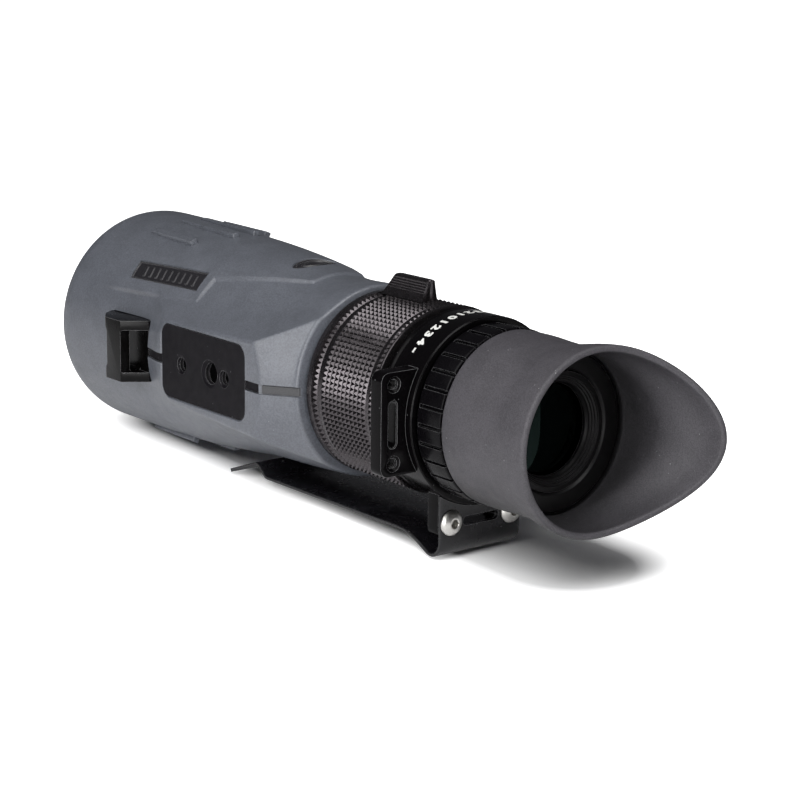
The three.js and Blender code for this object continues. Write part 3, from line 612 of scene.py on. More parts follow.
def armour_radius(turn, y):
    """Distance of the armour's skin from the axis."""
    height = (1 + np.cos(turn)) / 2
    body = along(SKIN_BOTTOM, y) * (1 - height) + along(SKIN_TOP, y) * height
    across = np.abs(np.arctan2(np.sin(turn), np.cos(turn))) * PANEL_R
    raised = step(outline_distance(across, y + 0 * across, PANEL_OUTLINE), PANEL_EDGE)
    merged = step(y - 112, 26)
    boss = boss_radius(turn, y, body)
    skin = body + PANEL_RISE * (raised * (1 - merged) + merged * height)
    return soft_max(skin, boss, 2.6)


def armour_blank():
    """The armour as a thick closed shell, before its pockets are cut."""
    columns = 560
    turn = turns(columns)
    radii, places = [], []

    def row(radius, y):
        radii.append(np.broadcast_to(radius, columns))
        places.append(np.full(columns, float(y)))

    rim = armour_radius(turn, np.full(columns, REAR_Y + REAR_ROUND))
    for k in range(5):
        bend = math.pi / 2 * (1 - k / 5)
        row(rim - REAR_ROUND * (1 - math.cos(bend)),
            REAR_Y + REAR_ROUND * (1 - math.sin(bend)))
    for y in np.linspace(REAR_Y + REAR_ROUND, LIP_START_Y, 320):
        row(armour_radius(turn, np.full(columns, y)), y)
    front = armour_radius(turn, np.full(columns, LIP_START_Y))
    lip_depth = ARMOUR.front - LIP_START_Y
    for k in range(1, 17):
        bend = math.pi / 2 * k / 16
        row(LIP_R + (front - LIP_R) * math.cos(bend), LIP_START_Y + lip_depth * math.sin(bend))
    for k in range(1, 6):
        bend = math.pi / 2 * k / 5
        row(LIP_BORE_R + (LIP_R - LIP_BORE_R) * (1 - math.sin(bend)),
            ARMOUR.front - 1.7 * (1 - math.cos(bend)))
    row(LIP_BORE_R, LEDGE_Y)
    for y, radius in reversed(TUBE_OUTSIDE):
        row(radius, y)
    points = polar(np.array(radii), np.array(places), turn)
    return new_object("rubber_armour_skin", points, grid_faces(len(radii), columns))


PLATE_REAR_Y, PLATE_FRONT_Y, PLATE_HALF = 20.8, 71.6, 12.9
PLATE_CORNER = 4.2
PLATE_BACK = PLATE.left + 3.2
TONGUE_HALF = 1.55
SHOULDER_END_Y = 12.8
SEAT_GAP = 0.15  # left between the armour and each piece let into it
STRIP_SEAT_DEPTH = 0.9  # of the channel down the shoulder
STRIP_DEPTH = 0.4  # of the strip's face in that channel


def shoulder_point(y, depth):
    """A point (x, y) at a depth under the shoulder behind the left plate."""
    return depth - SHOULDER_R - SHOULDER_SLOPE * (y - REAR_Y), y


def shoulder_strip(name):
    """The narrow strip that fills the channel between the focus ring and the plate."""
    rear, front = REAR_Y + 0.1, SHOULDER_END_Y - 1.3
    under = STRIP_SEAT_DEPTH - 0.02
    outline = np.array([shoulder_point(rear, STRIP_DEPTH), shoulder_point(front, STRIP_DEPTH),
                        shoulder_point(front, under), shoulder_point(rear, under)])
    return lofted(name, stack(outline, softened(TONGUE_HALF - SEAT_GAP), "z"))


def side_pockets():
    """What is cut from the left of the armour for its plate, tongues and strap lug."""
    outside = -55
    half = PLATE_HALF + SEAT_GAP
    seat = rectangle(PLATE_REAR_Y - SEAT_GAP, PLATE_FRONT_Y + SEAT_GAP, -half, half,
                     PLATE_CORNER + SEAT_GAP)
    edge = -BOSS_FACE
    plate_seat = cutter(seat, [
        (outside, -0.45), (edge - 0.05, -0.45), (edge + 0.4, 0), (PLATE_BACK + 0.1, 0)], "x")
    pad_seat = cutter(rectangle(22, 70.4, -11.2, 11.2, 1), [(-38, 0), (-28, 0)], "x")
    across = [(-TONGUE_HALF - SEAT_GAP, 0), (TONGUE_HALF + SEAT_GAP, 0)]
    tongue_seat = cutter(np.array([
        (outside, SHOULDER_END_Y), (PLATE_BACK, SHOULDER_END_Y), (PLATE_BACK, LUG.rear + 2),
        (outside, LUG.rear + 2)]), across, "z")
    strip_seat = cutter(np.array([
        (outside, -1), shoulder_point(-1, STRIP_SEAT_DEPTH),
        shoulder_point(SHOULDER_END_Y, STRIP_SEAT_DEPTH), (outside, SHOULDER_END_Y)]), across, "z")
    lug_seat = cutter(
        rectangle(LUG.rear - SEAT_GAP, LUG.front + SEAT_GAP, LUG.bottom - SEAT_GAP,
                  LUG.top + SEAT_GAP, 1.2), [(outside, 0), (-33, 0)], "x")
    return [plate_seat, pad_seat, tongue_seat, strip_seat, lug_seat]


# Label panel: its corners as (degrees from the top towards the left, place), going round.
LABEL = np.array([(39.5, 66.6), (51.8, 66.0), (54.6, 105.2), (44.1, 105.8)])


def label_point(u, v, height):
    """A point on the label: u runs along it and v across it, both from 0 to 1."""
    degrees, y = [(a * (1 - v) + b * v) * (1 - u) + (d * (1 - v) + c * v) * u
                  for a, b, c, d in LABEL.T]
    turn = -np.radians(degrees)
    return polar(armour_radius(turn, y) + height, y, turn)


def curved_block(name, top, bottom):
    """A closed block between two surfaces given as equal grids of points."""
    rows, columns = top.shape[:2]
    faces = grid_faces(rows, columns, False, False)
    count = rows * columns
    faces += [tuple(count + i for i in reversed(face)) for face in faces]
    edge = list(range(columns))
    edge += [i * columns + columns - 1 for i in range(1, rows)]
    edge += [(rows - 1) * columns + j for j in range(columns - 2, -1, -1)]
    edge += [i * columns for i in range(rows - 2, 0, -1)]
    for a, b in zip(edge, edge[1:] + edge[:1]):
        faces.append((a, count + a, count + b, b))
    points = np.concatenate([top.reshape(-1, 3), bottom.reshape(-1, 3)])
    return new_object(name, points, faces)


def label_cut(margin_u, margin_v, depth):
    """A tool that sinks the label's outline, grown by margins, to a depth in the armour."""
    u = np.linspace(-margin_u, 1 + margin_u, 40)[:, None]
    v = np.linspace(-margin_v, 1 + margin_v, 14)[None, :]
    return curved_block("cut", label_point(u, v, 4.0), label_point(u, v, -depth))


def label_panel():
    """A black inset with a plain border and a row of slanted ridges."""
    u, v = np.meshgrid(np.linspace(0.004, 0.996, 300), np.linspace(0.016, 0.984, 80), indexing="ij")
    length, width = 39.5, 8.6  # millimetres
    border = np.minimum(np.minimum(u, 1 - u) * length, np.minimum(v, 1 - v) * width)
    frame_rise = step(0.7 - border, 0.3) * 0.25
    ridges = 9
    phase = (u * (ridges + 2) + 0.35 * v) % 1
    bar = step(0.2 - np.abs(phase - 0.5), 0.14)
    inside = step(border - 1.9, 0.4) * step(np.minimum(u - 0.09, 0.91 - u), 0.01)
    height = -0.62 + frame_rise + 0.32 * bar * inside
    return curved_block("label_inset_face", label_point(u, v, height), label_point(u, v, -0.85))


BADGE_Y, BADGE_ACROSS, BADGE_ALONG = 37.0, 9.0, 4.0


def badge_loop(size, height):
    """An oval loop on top of the armour, scaled and raised from the skin."""
    turn = turns(96)
    x = BADGE_ACROSS * size * np.cos(turn)
    y = BADGE_Y + BADGE_ALONG * size * np.sin(turn)
    radius = along(SKIN_TOP, y) + PANEL_RISE + height
    return np.stack([x, y, np.sqrt(radius ** 2 - x ** 2)], 1)


def badge():
    """An oval badge with a raised rim and a plain raised lozenge."""
    shape = [(0.97, -1.6), (0.97, -0.35), (0.95, -0.2), (0.86, -0.2), (0.82, -0.6), (0.62, -0.65),
             (0.57, -0.3), (0.48, -0.25), (0.43, -0.6), (0.2, -0.65), (0.05, -0.65)]
    return lofted("badge_inset_face", [badge_loop(size, height) for size, height in shape])


# Grip ribs: distance from the middle plane, rear end, front end.
RIBS = [(4.35, 78.3, 112.5), (15.6, 88, 115)]
RIB_HALF_WIDTH = 1.3


def rib(x, rear, front, under):
    """A moulded grip rib that stands tall at its rear end and sinks towards its front."""
    outline = resampled(rectangle(-RIB_HALF_WIDTH, RIB_HALF_WIDTH, rear, front, 0.35, 3), 1.2)
    loops = []
    for level, step_in in ((-1.6, 0), (0.75, 0), (1.0, 0.2)):
        u, y = inset(outline, step_in).T if step_in else outline.T
        rise = 1.8 - 0.9 * (y - rear) / (front - rear)
        middle = np.arcsin(x / (along(SKIN_TOP, y) + PANEL_RISE))
        turn = middle + u / 38
        if under:
            turn = math.pi - turn
        height = np.where(level > 0, level * rise, level)
        loops.append(polar(armour_radius(turn, y) + height, y, turn))
    return lofted("rib", loops)


def build_armour():
    body = armour_blank()
    ribs = [rib(side * x, rear, front, under)
            for x, rear, front in RIBS for side in (-1, 1) for under in (False, True)]
    combine(body, "UNION", *ribs)
    left = side_pockets()
    right = [mirrored(tool, "cut") for tool in left]
    badge_cut = lofted("cut", [badge_loop(1.0, -1.7), badge_loop(1.0, -0.3), badge_loop(1.05, 0.05),
                               badge_loop(1.05, 3.0)])
    combine(body, "DIFFERENCE", *left, *right, label_cut(0, 0, 0.9),
            label_cut(0.008, 0.03, 0.22), badge_cut)
    dress(body, "body", "armour_rubber", ARMOUR_FINISH, "rubber_armour", sharp=38)
    dress(label_panel(), "body", "plate_black", LABEL_FINISH, "label_inset")
    dress(badge(), "body", "plate_black", LABEL_FINISH, "badge_inset")
    return body


# ------------------------------------------------------------------ side plates, lugs
# (place along the plate, thread radius, pitch) of the tripod holes
PLATE_HOLES = [(33.5, 3.1, 1.27), (41.7, 4.55, 1.59), (59.5, 3.1, 1.27)]


def mount_plate(name):
    """A mounting plate with its three threaded holes and a narrow tongue at each end."""
    outline = rectangle(PLATE_REAR_Y, PLATE_FRONT_Y, -PLATE_HALF, PLATE_HALF, PLATE_CORNER, 8)
    outer, back = PLATE.left, PLATE_BACK
    levels = [(back, 0), (outer + 0.25, 0), (outer + 0.07, 0.07), (outer, 0.25)]
    holes = [tapped(y, -0.15, radius, pitch, back, outer, "x") for y, radius, pitch in PLATE_HOLES]
    plate = lofted(name, stack(outline, levels, "x"), *holes)
    top = outer + 0.4
    nose = -BOSS_FACE + NOSE_SLOPE * (LUG.rear - NOSE_Y) + 0.4
    overlap = 1.0
    rear_side = np.array([(back, SHOULDER_END_Y), (top, SHOULDER_END_Y),
                          (top, PLATE_REAR_Y + overlap), (back, PLATE_REAR_Y + overlap)])
    front_side = np.array([(back, PLATE_FRONT_Y - overlap), (top, PLATE_FRONT_Y - overlap),
                           (top, NOSE_Y), (nose, LUG.rear - 0.1), (nose + 1.4, LUG.rear - 0.1),
                           (back, 76)])
    tongues = [lofted("tongue", stack(side, softened(TONGUE_HALF), "z"))
               for side in (rear_side, front_side)]
    return combine(plate, "UNION", *tongues)


# Plan of a strap lug on the left, as (x, y, radius).
LUG_BAR_REAR_Y, LUG_BAR_FRONT_Y = 89.5, 98.6
LUG_PLAN = [(LUG.right, LUG.rear), (-38.5, LUG.rear), (LUG.left, LUG_BAR_REAR_Y, 0.4),
            (LUG.left, 99.6, 2), (-42.2, 106.2, 8), (-38.3, LUG.front), (LUG.right, LUG.front)]
LUG_WINDOW_HALF = 7.65
LUG_BAR_X = -42.8
LUG_BASE_X = -38.4


def strap_lug(name):
    """A strap lug: a block with a window through it and a hollow each side of its bar."""
    body = lofted(name, stack(rounded(LUG_PLAN), [(LUG.bottom, 0), (LUG.top, 0)], "z"))
    half = LUG_WINDOW_HALF
    window = cutter(rectangle(LUG_BAR_X, LUG_BASE_X, -half, half, 1.0),
                    [(LUG.rear - 5, 0), (LUG.front + 5, 0)], "y")
    hollows = [cutter(rectangle(rear, front, -half, half, radius), [(-60, 0), (LUG_BASE_X, 0)], "x")
               for rear, front, radius in ((LUG_BAR_FRONT_Y, 120, 1.8), (70, LUG_BAR_REAR_Y, 0.6))]
    return bevelled(combine(body, "DIFFERENCE", window, *hollows), 0.32, 3)


def build_sides():
    for kind, make, slot, material, node, sharp in (
            ("plate_face", mount_plate, "plate_black", PLATE_FINISH, "mount_plate", 15),
            ("shoulder_strip", shoulder_strip, "armour_rubber", STRIP_FINISH, None, 32),
            ("lug_hoop", strap_lug, "spring_black", LUG_FINISH, "strap_lug", 32)):
        left = make("left_" + kind)
        for side, piece in (("left", left), ("right", mirrored(left, "right_" + kind))):
            nodes = [f"{side}_{node}"] if node else []
            dress(piece, "body", slot, material, *nodes, sharp=sharp)


# ----------------------------------------------------------------------- focus ring
KNURLS_AROUND = 108
VALLEY_R = RING.right - 0.85
# knurled bands as (front, rear, rows)
KNURL_BANDS = [(-3.3, -5.4, 1), (-7.6, -30.9, 11), (-32.5, -34.6, 1)]
RING_BORE_R = 27.25


def focus_ring():
    """The ring, with a pyramid on every square of its knurled bands."""
    top = RING.right
    rear = RING.rear
    rows = [(RING_BORE_R, -0.2, False), (top - 0.75, -0.2, False), (top - 0.2, -0.4, False),
            (top, -0.8, False)]
    for front, back, count in KNURL_BANDS:
        rows.append((top if front > -5 else VALLEY_R, front + 0.3, False))
        for k in range(count + 1):
            rows.append((VALLEY_R, front + (back - front) * k / count, k < count))
    rows += [(top, KNURL_BANDS[-1][1] - 0.3, False), (top, rear + 0.5, False),
             (top - 0.15, rear + 0.15, False), (top - 0.6, rear, False), (RING_BORE_R, rear, False)]
    columns = 2 * KNURLS_AROUND
    turn = turns(columns)
    points = [polar(radius, y, turn) for radius, y, _ in rows]
    faces = []
    tips = []
    first_tip = len(rows) * columns
    for i, (radius, y, knurled) in enumerate(rows):
        low, high = i * columns, (i + 1) % len(rows) * columns
        if not knurled:
            faces += [(low + j, low + (j + 1) % columns, high + (j + 1) % columns, high + j)
                      for j in range(columns)]
            continue
        next_y = rows[i + 1][1]
        for cell in range(KNURLS_AROUND):
            a, m, b = 2 * cell, 2 * cell + 1, (2 * cell + 2) % columns
            t = first_tip + len(tips)
            for share_y, share_turn in ((0.42, 0.42), (0.42, 0.58), (0.58, 0.58), (0.58, 0.42)):
                place = y + (next_y - y) * share_y
                tips.append(polar(top, place, (cell + share_turn) * FULL / KNURLS_AROUND))
            faces += [(low + a, low + m, low + b, t + 1, t), (low + b, high + b, t + 2, t + 1),
                      (high + b, high + m, high + a, t + 3, t + 2), (high + a, low + a, t, t + 3),
                      (t, t + 1, t + 2, t + 3)]
    points = np.concatenate([np.concatenate(points), np.array(tips)])
    return new_object("focus_ring_grip", points, faces)


def focus_tab():
    """The tapered finger tab, with fine ridges on its sides and a fluted rear face."""
    low, high = 30.6, TAB.top
    loops = []
    heights = np.linspace(low, high, 66)
    for z in heights:
        share = (z - low) / (high - low)
        front = -3.4 - 5.2 * share
        rear = -25.4 - 0.6 * share
        half = 3.3 - 1.75 * share ** 0.9
        ridged = step(z - 33.2, 0.3) * step(37 - z, 0.3)
        ridge = 0.14 * np.abs((z - 33.2) / 0.85 % 1 * 2 - 1) * ridged
        crown = 0.5 * max(0, (z - high + 0.5) / 0.5) ** 2
        front, rear, half = front - crown, rear + crown, half - crown * 0.8
        across = np.linspace(-1, 1, 13)
        flute = 0.32 * np.abs(np.sin(across * math.pi)) * (np.abs(across) < 0.99)
        loop = [(half * s, rear + f) for s, f in zip(across, flute)]
        for s in (1, -1):
            side = [(s * (half - ridge), y) for y in np.linspace(rear + 0.5, front - 1.0, 12)]
            loop += side if s > 0 else side[::-1]
            if s > 0:
                loop += [(half * math.cos(t) * 0.92, front - 1.0 + math.sin(t))
                         for t in np.linspace(0.35, math.pi - 0.35, 7)]
        loops.append(laid(np.array(loop), z, "z"))
    return lofted("focus_tab_fin", loops)


def build_focus():
    dress(focus_ring(), "focus_ring", "anodised_black", RING_FINISH, "focus_ring", sharp=25)
    dress(focus_tab(), "focus_ring", "anodised_black", RING_FINISH, "focus_tab", sharp=40)


# ----------------------------------------------------------------- eyepiece housing
HOUSING_R = 30.4
COLLAR_REAR_Y = DIOPTER.front + 0.3
BEAD_FRONT_Y, BEAD_REAR_Y = -37.9, -40.0  # a rounded bead just behind the focus ring
SLEEVE_R, SLEEVE_BORE_R = 24.6, 22.2
BRACKET_REAR_Y, BRACKET_FRONT_Y = -51.5, -46.1
BRACKET_HALF = 16.6
BRACKET_OUTER = -HOUSING.left
BRACKET_HOLE_X, BRACKET_HOLE_Z = 12.5, -34.9
SLOT = (-7.4, 7.4, -36.9, -33.8)  # x and z of the strap slot between the screws


def bracket(threads):
    """One strap bracket, drawn on the underside."""
    seat = 28.6
    reach = math.asin(BRACKET_HALF / seat)
    arc = [(seat * math.sin(t), -seat * math.cos(t)) for t in np.linspace(reach, -reach, 24)]
    outer = [(-BRACKET_HALF, -BRACKET_OUTER, 3), (BRACKET_HALF, -BRACKET_OUTER, 3)]
    outline = rounded([*arc, *outer], steps=8)
    ends = [(BRACKET_FRONT_Y, 0.3), (BRACKET_FRONT_Y - 0.3, 0), (BRACKET_REAR_Y + 0.35, 0),
            (BRACKET_REAR_Y + 0.1, 0.1), (BRACKET_REAR_Y, 0.35)]
    slot_line = rectangle(*SLOT, 1.5)
    slot = stack(slot_line, [(BRACKET_FRONT_Y, -0.25), (BRACKET_FRONT_Y - 0.25, 0),
                             (BRACKET_REAR_Y + 0.3, 0), (BRACKET_REAR_Y, -0.3)], "y")
    holes = []
    for side in (-1, 1):
        x = side * BRACKET_HOLE_X
        if threads:
            bore = tapped(x, BRACKET_HOLE_Z, 2.0, 0.7, BRACKET_FRONT_Y, BRACKET_REAR_Y + 0.5,
                          "y", mouth=0.3)
            collar = [(BRACKET_REAR_Y + 0.4, 2.45), (BRACKET_REAR_Y + 0.1, 2.6),
                      (BRACKET_REAR_Y, 2.85)]
            bore += [laid(circle(x, BRACKET_HOLE_Z, r), y, "y") for y, r in collar]
            holes.append(bore)
        else:
            holes.append(stack(circle(x, BRACKET_HOLE_Z, 2.1), [(BRACKET_FRONT_Y, 0),
                                                             (BRACKET_REAR_Y, 0)], "y"))
    return lofted("bracket", stack(outline, ends, "y"), slot, *holes)


def housing():
    """Collar and rear sleeve of the eyepiece housing, with its three brackets."""
    front, bore = HOUSING.front, 26.9
    shell = turned("eyepiece_housing_body", [
        (bore, front), (HOUSING_R - 1.6, front, 0.2), (HOUSING_R - 1.4, BEAD_FRONT_Y, 0.1),
        (HOUSING_R - 0.45, BEAD_FRONT_Y, 0.3), (HOUSING_R + 0.1, BEAD_FRONT_Y - 0.9, 0.8),
        (HOUSING_R - 0.3, BEAD_REAR_Y, 0.1), (HOUSING_R - 0.4, BEAD_REAR_Y - 0.2, 0.05),
        (HOUSING_R, BEAD_REAR_Y - 0.35, 0.1), (HOUSING_R, COLLAR_REAR_Y + 0.35, 0.1),
        (HOUSING_R - 0.35, COLLAR_REAR_Y, 0.1), (HOUSING_R - 2.4, COLLAR_REAR_Y, 0.1),
        (HOUSING_R - 2.6, COLLAR_REAR_Y + 0.9), (SLEEVE_R + 0.3, COLLAR_REAR_Y + 0.9),
        (SLEEVE_R, COLLAR_REAR_Y + 0.6), (SLEEVE_R, HOUSING.rear),
        (SLEEVE_BORE_R, HOUSING.rear), (SLEEVE_BORE_R, -46.3), (bore, -46.3),
    ])
    brackets = [rolled(bracket(degrees != 0), degrees) for degrees in (-90, 0, 90)]
    return combine(shell, "UNION", *brackets)


def number(name, body, height, width, turn, y, radius):
    """A printed number on a cylinder, with its foot towards the objective."""
    curve = bpy.data.curves.new(name, "FONT")
    curve.body = body
    curve.extrude = 0.02
    curve.offset = 0.05
    curve.resolution_u = 5
    curve.align_x = "CENTER"
    curve.align_y = "CENTER"
    source = linked(name, curve)
    graph = bpy.context.evaluated_depsgraph_get()
    mesh = bpy.data.meshes.new_from_object(source.evaluated_get(graph))
    bpy.data.objects.remove(source)
    cap = 0.7  # the font's capital height at size 1
    em = 0.55  # and the width of a digit
    for vertex in mesh.vertices:
        across, up, out = vertex.co
        angle = turn - across / em * width / radius
        vertex.co = Vector(polar(radius + 0.02 + out, y - up / cap * height, angle)) * MM + ORIGIN
    return tidy(linked(name, mesh))


def build_housing():
    dress(housing(), "body", "housing_black", HOUSING_FINISH, "eyepiece_housing")
    # a plain scale over the crown: zero in the middle, four steps either way
    scale = ["-", "4", "3", "2", "1", "0", "1", "2", "3", "4", "+"]
    first, pitch = -46.8, 6.6
    for k, body in enumerate(scale):
        turn = math.radians(first + pitch * k)
        mark = number(f"scale_mark_{k}", body, 2.8, 2.8, turn, -45.5, HOUSING_R)
        dress(mark, "body", "housing_black", PAINT_FINISH, sharp=60)


# ------------------------------------------------------------------- diopter ring
DIOPTER_PADS = 30


def diopter_ring():
    """A ring of flat pads between grooves that run out at its rear edge."""
    r = DIOPTER.right
    front, rear = DIOPTER.front, DIOPTER.rear
    profile = rounded([
        (SLEEVE_R + 0.2, front), (r - 0.35, front, 0.1), (r, front - 0.35, 0.15),
        (r, front - 0.9), (r, front - 1.1), (r, rear + 0.7), (r - 0.2, rear + 0.15, 0.2),
        (r - 0.6, rear, 0.1), (SLEEVE_R + 0.2, rear)], steps=4)
    pitch = FULL / DIOPTER_PADS
    groove = 1.1 / r
    wall = 0.09 / r
    edges = np.array([-groove / 2 - wall, -groove / 2, -groove / 6, groove / 6, groove / 2,
                      groove / 2 + wall])
    pad = np.linspace(groove / 2 + wall, pitch - groove / 2 - wall, 8)[1:-1]
    cell_turn = np.concatenate([edges, pad])
    cell_depth = np.concatenate([[0, 1, 1, 1, 1, 0], np.zeros(len(pad))])
    turn = np.concatenate([(k + 0.5) * pitch + cell_turn for k in range(DIOPTER_PADS)])
    depth = np.tile(cell_depth, DIOPTER_PADS)
    radius, y = profile.T[:, :, None]
    open_along = (y < front - 1.0) & (radius > SLEEVE_R + 1)
    cut = np.where(open_along, np.minimum(radius, r - 0.95), radius)
    radius = radius + (cut - radius) * depth
    points = polar(radius, y + 0 * turn, turn)
    return new_object("diopter_ring_grip", points, grid_faces(len(profile), len(turn)))


# --------------------------------------------------------------- ocular and eyecup
def build_ocular():
    face = BARREL.rear
    r = BARREL.right
    barrel = turned("ocular_barrel_body", [
        (15, BARREL.front), (22, BARREL.front), (22, -72.2), (r, -72.2), (r, face + 0.35, 0.1),
        (r - 0.35, face, 0.1), (19.9, face, 0.2), (19.5, face + 0.5, 0.2), (19.2, face + 0.8),
        (19.2, BARREL.front - 2), (15, BARREL.front - 2)])
    dress(barrel, "ocular", "housing_black", SATIN_FINISH, "ocular_barrel")
    y = RETAINER.rear
    steps = []
    for k in range(4):
        steps += [(17.3 - 0.62 * k, y + 0.7 * k, 0.08), (17.1 - 0.62 * k, y + 0.55 + 0.7 * k, 0.08)]
    retainer = turned("eye_lens_retainer_ring", [
        (18.9, y + 0.15), (17.5, y), *steps, (14.7, y + 3.4), (14.6, RETAINER.front),
        (18.9, RETAINER.front)], steps=3)
    dress(retainer, "ocular", "housing_black", SATIN_FINISH, "eye_lens_retainer", sharp=25)
    dress(lens("eye_lens_glass", EYE_LENS, 1.6, 1.2), "ocular", "lens_glass", EYE_GLASS,
          "eye_lens")
    carrier_r = CARRIER.right
    carrier = turned("eyecup_carrier_tube", [
        (SLEEVE_R + 0.2, CARRIER.front), (carrier_r, CARRIER.front, 0.15),
        (carrier_r, CARRIER.rear, 0.1), (25.7, CARRIER.rear), (25.7, -70.4),
        (SLEEVE_R + 0.2, -70.4)])
    dress(carrier, "eyecup", "housing_black", SATIN_FINISH, "eyecup_carrier")


CUP_OUTER_R = 28.1
CUP_BORE_R = 26.7
CUP_MOUTH_R = 25.95
CUP_MOUTH_Y = -88.6
CUP_WALL = 1.3  # least thickness of the flared part
CUP_RIM_R = 28.7
CUP_FLARE = EYECUP.right - CUP_RIM_R
CUP_SHORT_RIM_Y = -103.8
CUP_WING = CUP_SHORT_RIM_Y - EYECUP.rear
CUP_RIM_THICKNESS = 2.3
CUP_LOW_LIP = 1.0  # how much wider the rim is underneath


def eyecup():
    """The rubber eyecup: round at its base, drawn back into a wing on the right."""
    columns = 256
    turn = turns(columns)
    wing = (1 + np.sin(turn)) / 2
    rim_y = CUP_SHORT_RIM_Y - CUP_WING * wing ** 5.6
    rim_r = CUP_RIM_R + CUP_FLARE * wing ** 3 + CUP_LOW_LIP * np.maximum(-np.cos(turn), 0) ** 3
    front = EYECUP.front
    rows = [(np.full(columns, CUP_BORE_R), np.full(columns, front)),
            (np.full(columns, CUP_OUTER_R - 0.5), np.full(columns, front)),
            (np.full(columns, CUP_OUTER_R - 0.12), np.full(columns, front - 0.15))]
    thick = CUP_RIM_THICKNESS
    tail = rim_y + thick / 2

    def outside(share):
        """The outer skin's radius at a share of the way from the cup's front to its rim."""
        waist = [(0, 0), (0.25, -0.05), (0.45, -0.55), (0.6, -0.7), (0.75, -0.3), (0.9, 0), (1, 0)]
        flare = step(share - 0.84, 0.42) * 0.86 + 0.14 * share
        return CUP_OUTER_R + along(waist, share) + (rim_r - CUP_OUTER_R) * flare

    for share in np.linspace(0.012, 1, 64):
        rows.append((outside(share), front + share * (tail - front)))
    for k in range(1, 10):
        bend = math.pi * k / 9
        rows.append((rim_r - thick / 2 * (1 - math.cos(bend)), tail - thick / 2 * math.sin(bend)))
    inner_start = rim_r - thick
    for s in np.linspace(0.03, 1, 40):
        bowl = max(0.0, math.cos(s * math.pi / 2)) ** 0.8
        throat = CUP_MOUTH_R + (inner_start - CUP_MOUTH_R) * bowl * (1 - 0.55 * s)
        y = tail + s * (CUP_MOUTH_Y - tail)
        skin = outside((y - front) / (tail - front))
        rows.append((soft_min(throat, skin - CUP_WALL, 0.6), y))
    rows.append((np.full(columns, CUP_BORE_R), np.full(columns, CUP_MOUTH_Y + 1.2)))
    radius = np.array([np.broadcast_to(r, columns) for r, _ in rows])
    y = np.array([np.broadcast_to(place, columns) for _, place in rows])
    return new_object("eyecup_rubber", polar(radius, y, turn), grid_faces(len(rows), columns))


def build_eyepiece():
    dress(diopter_ring(), "diopter_ring", "housing_black", GRIP_FINISH, "diopter_ring")
    build_ocular()
    dress(eyecup(), "eyecup", "eyecup_rubber", EYECUP_FINISH, "eyecup", sharp=50)


# ------------------------------------------------------------------------ belt clip
SHEET = 1.3
TAB_Y = CLIP.rear + SHEET / 2
FLAT_Z = -40.7
# middle line of the bent sheet from its screw tab to its lead-in lip, as (y, z, radius)
CLIP_LINE = [(TAB_Y, -24), (TAB_Y, -48.9, 4.6), (-36.1, FLAT_Z, 22), (43.4, FLAT_Z, 3.2),
             (48.5, -36.8, 1.7), (CLIP.front - 0.2, -42.8)]


def belt_clip():
    line = rounded(CLIP_LINE, closed=False, steps=10)
    run = np.gradient(line, axis=0)
    run /= np.linalg.norm(run, axis=1)[:, None]
    across = np.stack([-run[:, 1], run[:, 0]], 1) * SHEET / 2
    outline = np.concatenate([line + across, (line - across)[::-1]])
    half = CLIP.right
    levels = [(-half, 0.28), (-half + 0.1, 0.1), (-half + 0.28, 0), (half - 0.28, 0),
              (half - 0.1, 0.1), (half, 0.28)]
    sheet = lofted("belt_clip_sheet", stack(outline, levels, "x"))
    relief = turned("cut", [(0, -60), (30.8, -60), (30.8, -46), (0, -46)])
    holes = [turned("cut", [(0, -60), (2.3, -60), (2.3, -48), (0, -48)], 48,
                    (side * BRACKET_HOLE_X, BRACKET_HOLE_Z)) for side in (-1, 1)]
    slot = cutter(rectangle(*SLOT, 1.5), [(-60, 0), (-48, 0)], "y")
    return combine(sheet, "DIFFERENCE", relief, slot, *holes)


def clip_screw(name, side):
    """A button-head screw with a hexagon socket."""
    seat, crown = CLIP.rear - 0.1, SCREW.rear
    centre = (side * BRACKET_HOLE_X, BRACKET_HOLE_Z)
    r = (SCREW.right - SCREW.left) / 2
    dome = [(0, crown), (2.0, crown, 0.3), (r - 0.9, crown + 0.6, 2.0),
            (r - 0.15, crown + 1.5, 0.4), (r, seat, 0.1), (1.9, seat), (1.9, SCREW.front),
            (0, SCREW.front)]
    screw = turned(name, dome, 64, centre, steps=8)
    outline = circle(0, 0, 1.6, 6) + np.array(centre)
    socket = cutter(outline, [(crown - 1, 0), (crown + 2.2, 0)], "y")
    cone = turned("cut", [(0, crown - 0.2), (1.75, crown - 0.2), (1.3, crown + 0.25),
                          (0, crown + 0.25)], 48, centre)
    return combine(screw, "DIFFERENCE", socket, cone)


def build_clip():
    dress(belt_clip(), "body", "spring_black", CLIP_FINISH, "belt_clip")
    for name, side in (("left", -1), ("right", 1)):
        screw = clip_screw(name + "_screw_head", side)
        dress(screw, "body", "stainless", STEEL_FINISH, name + "_clip_screw")


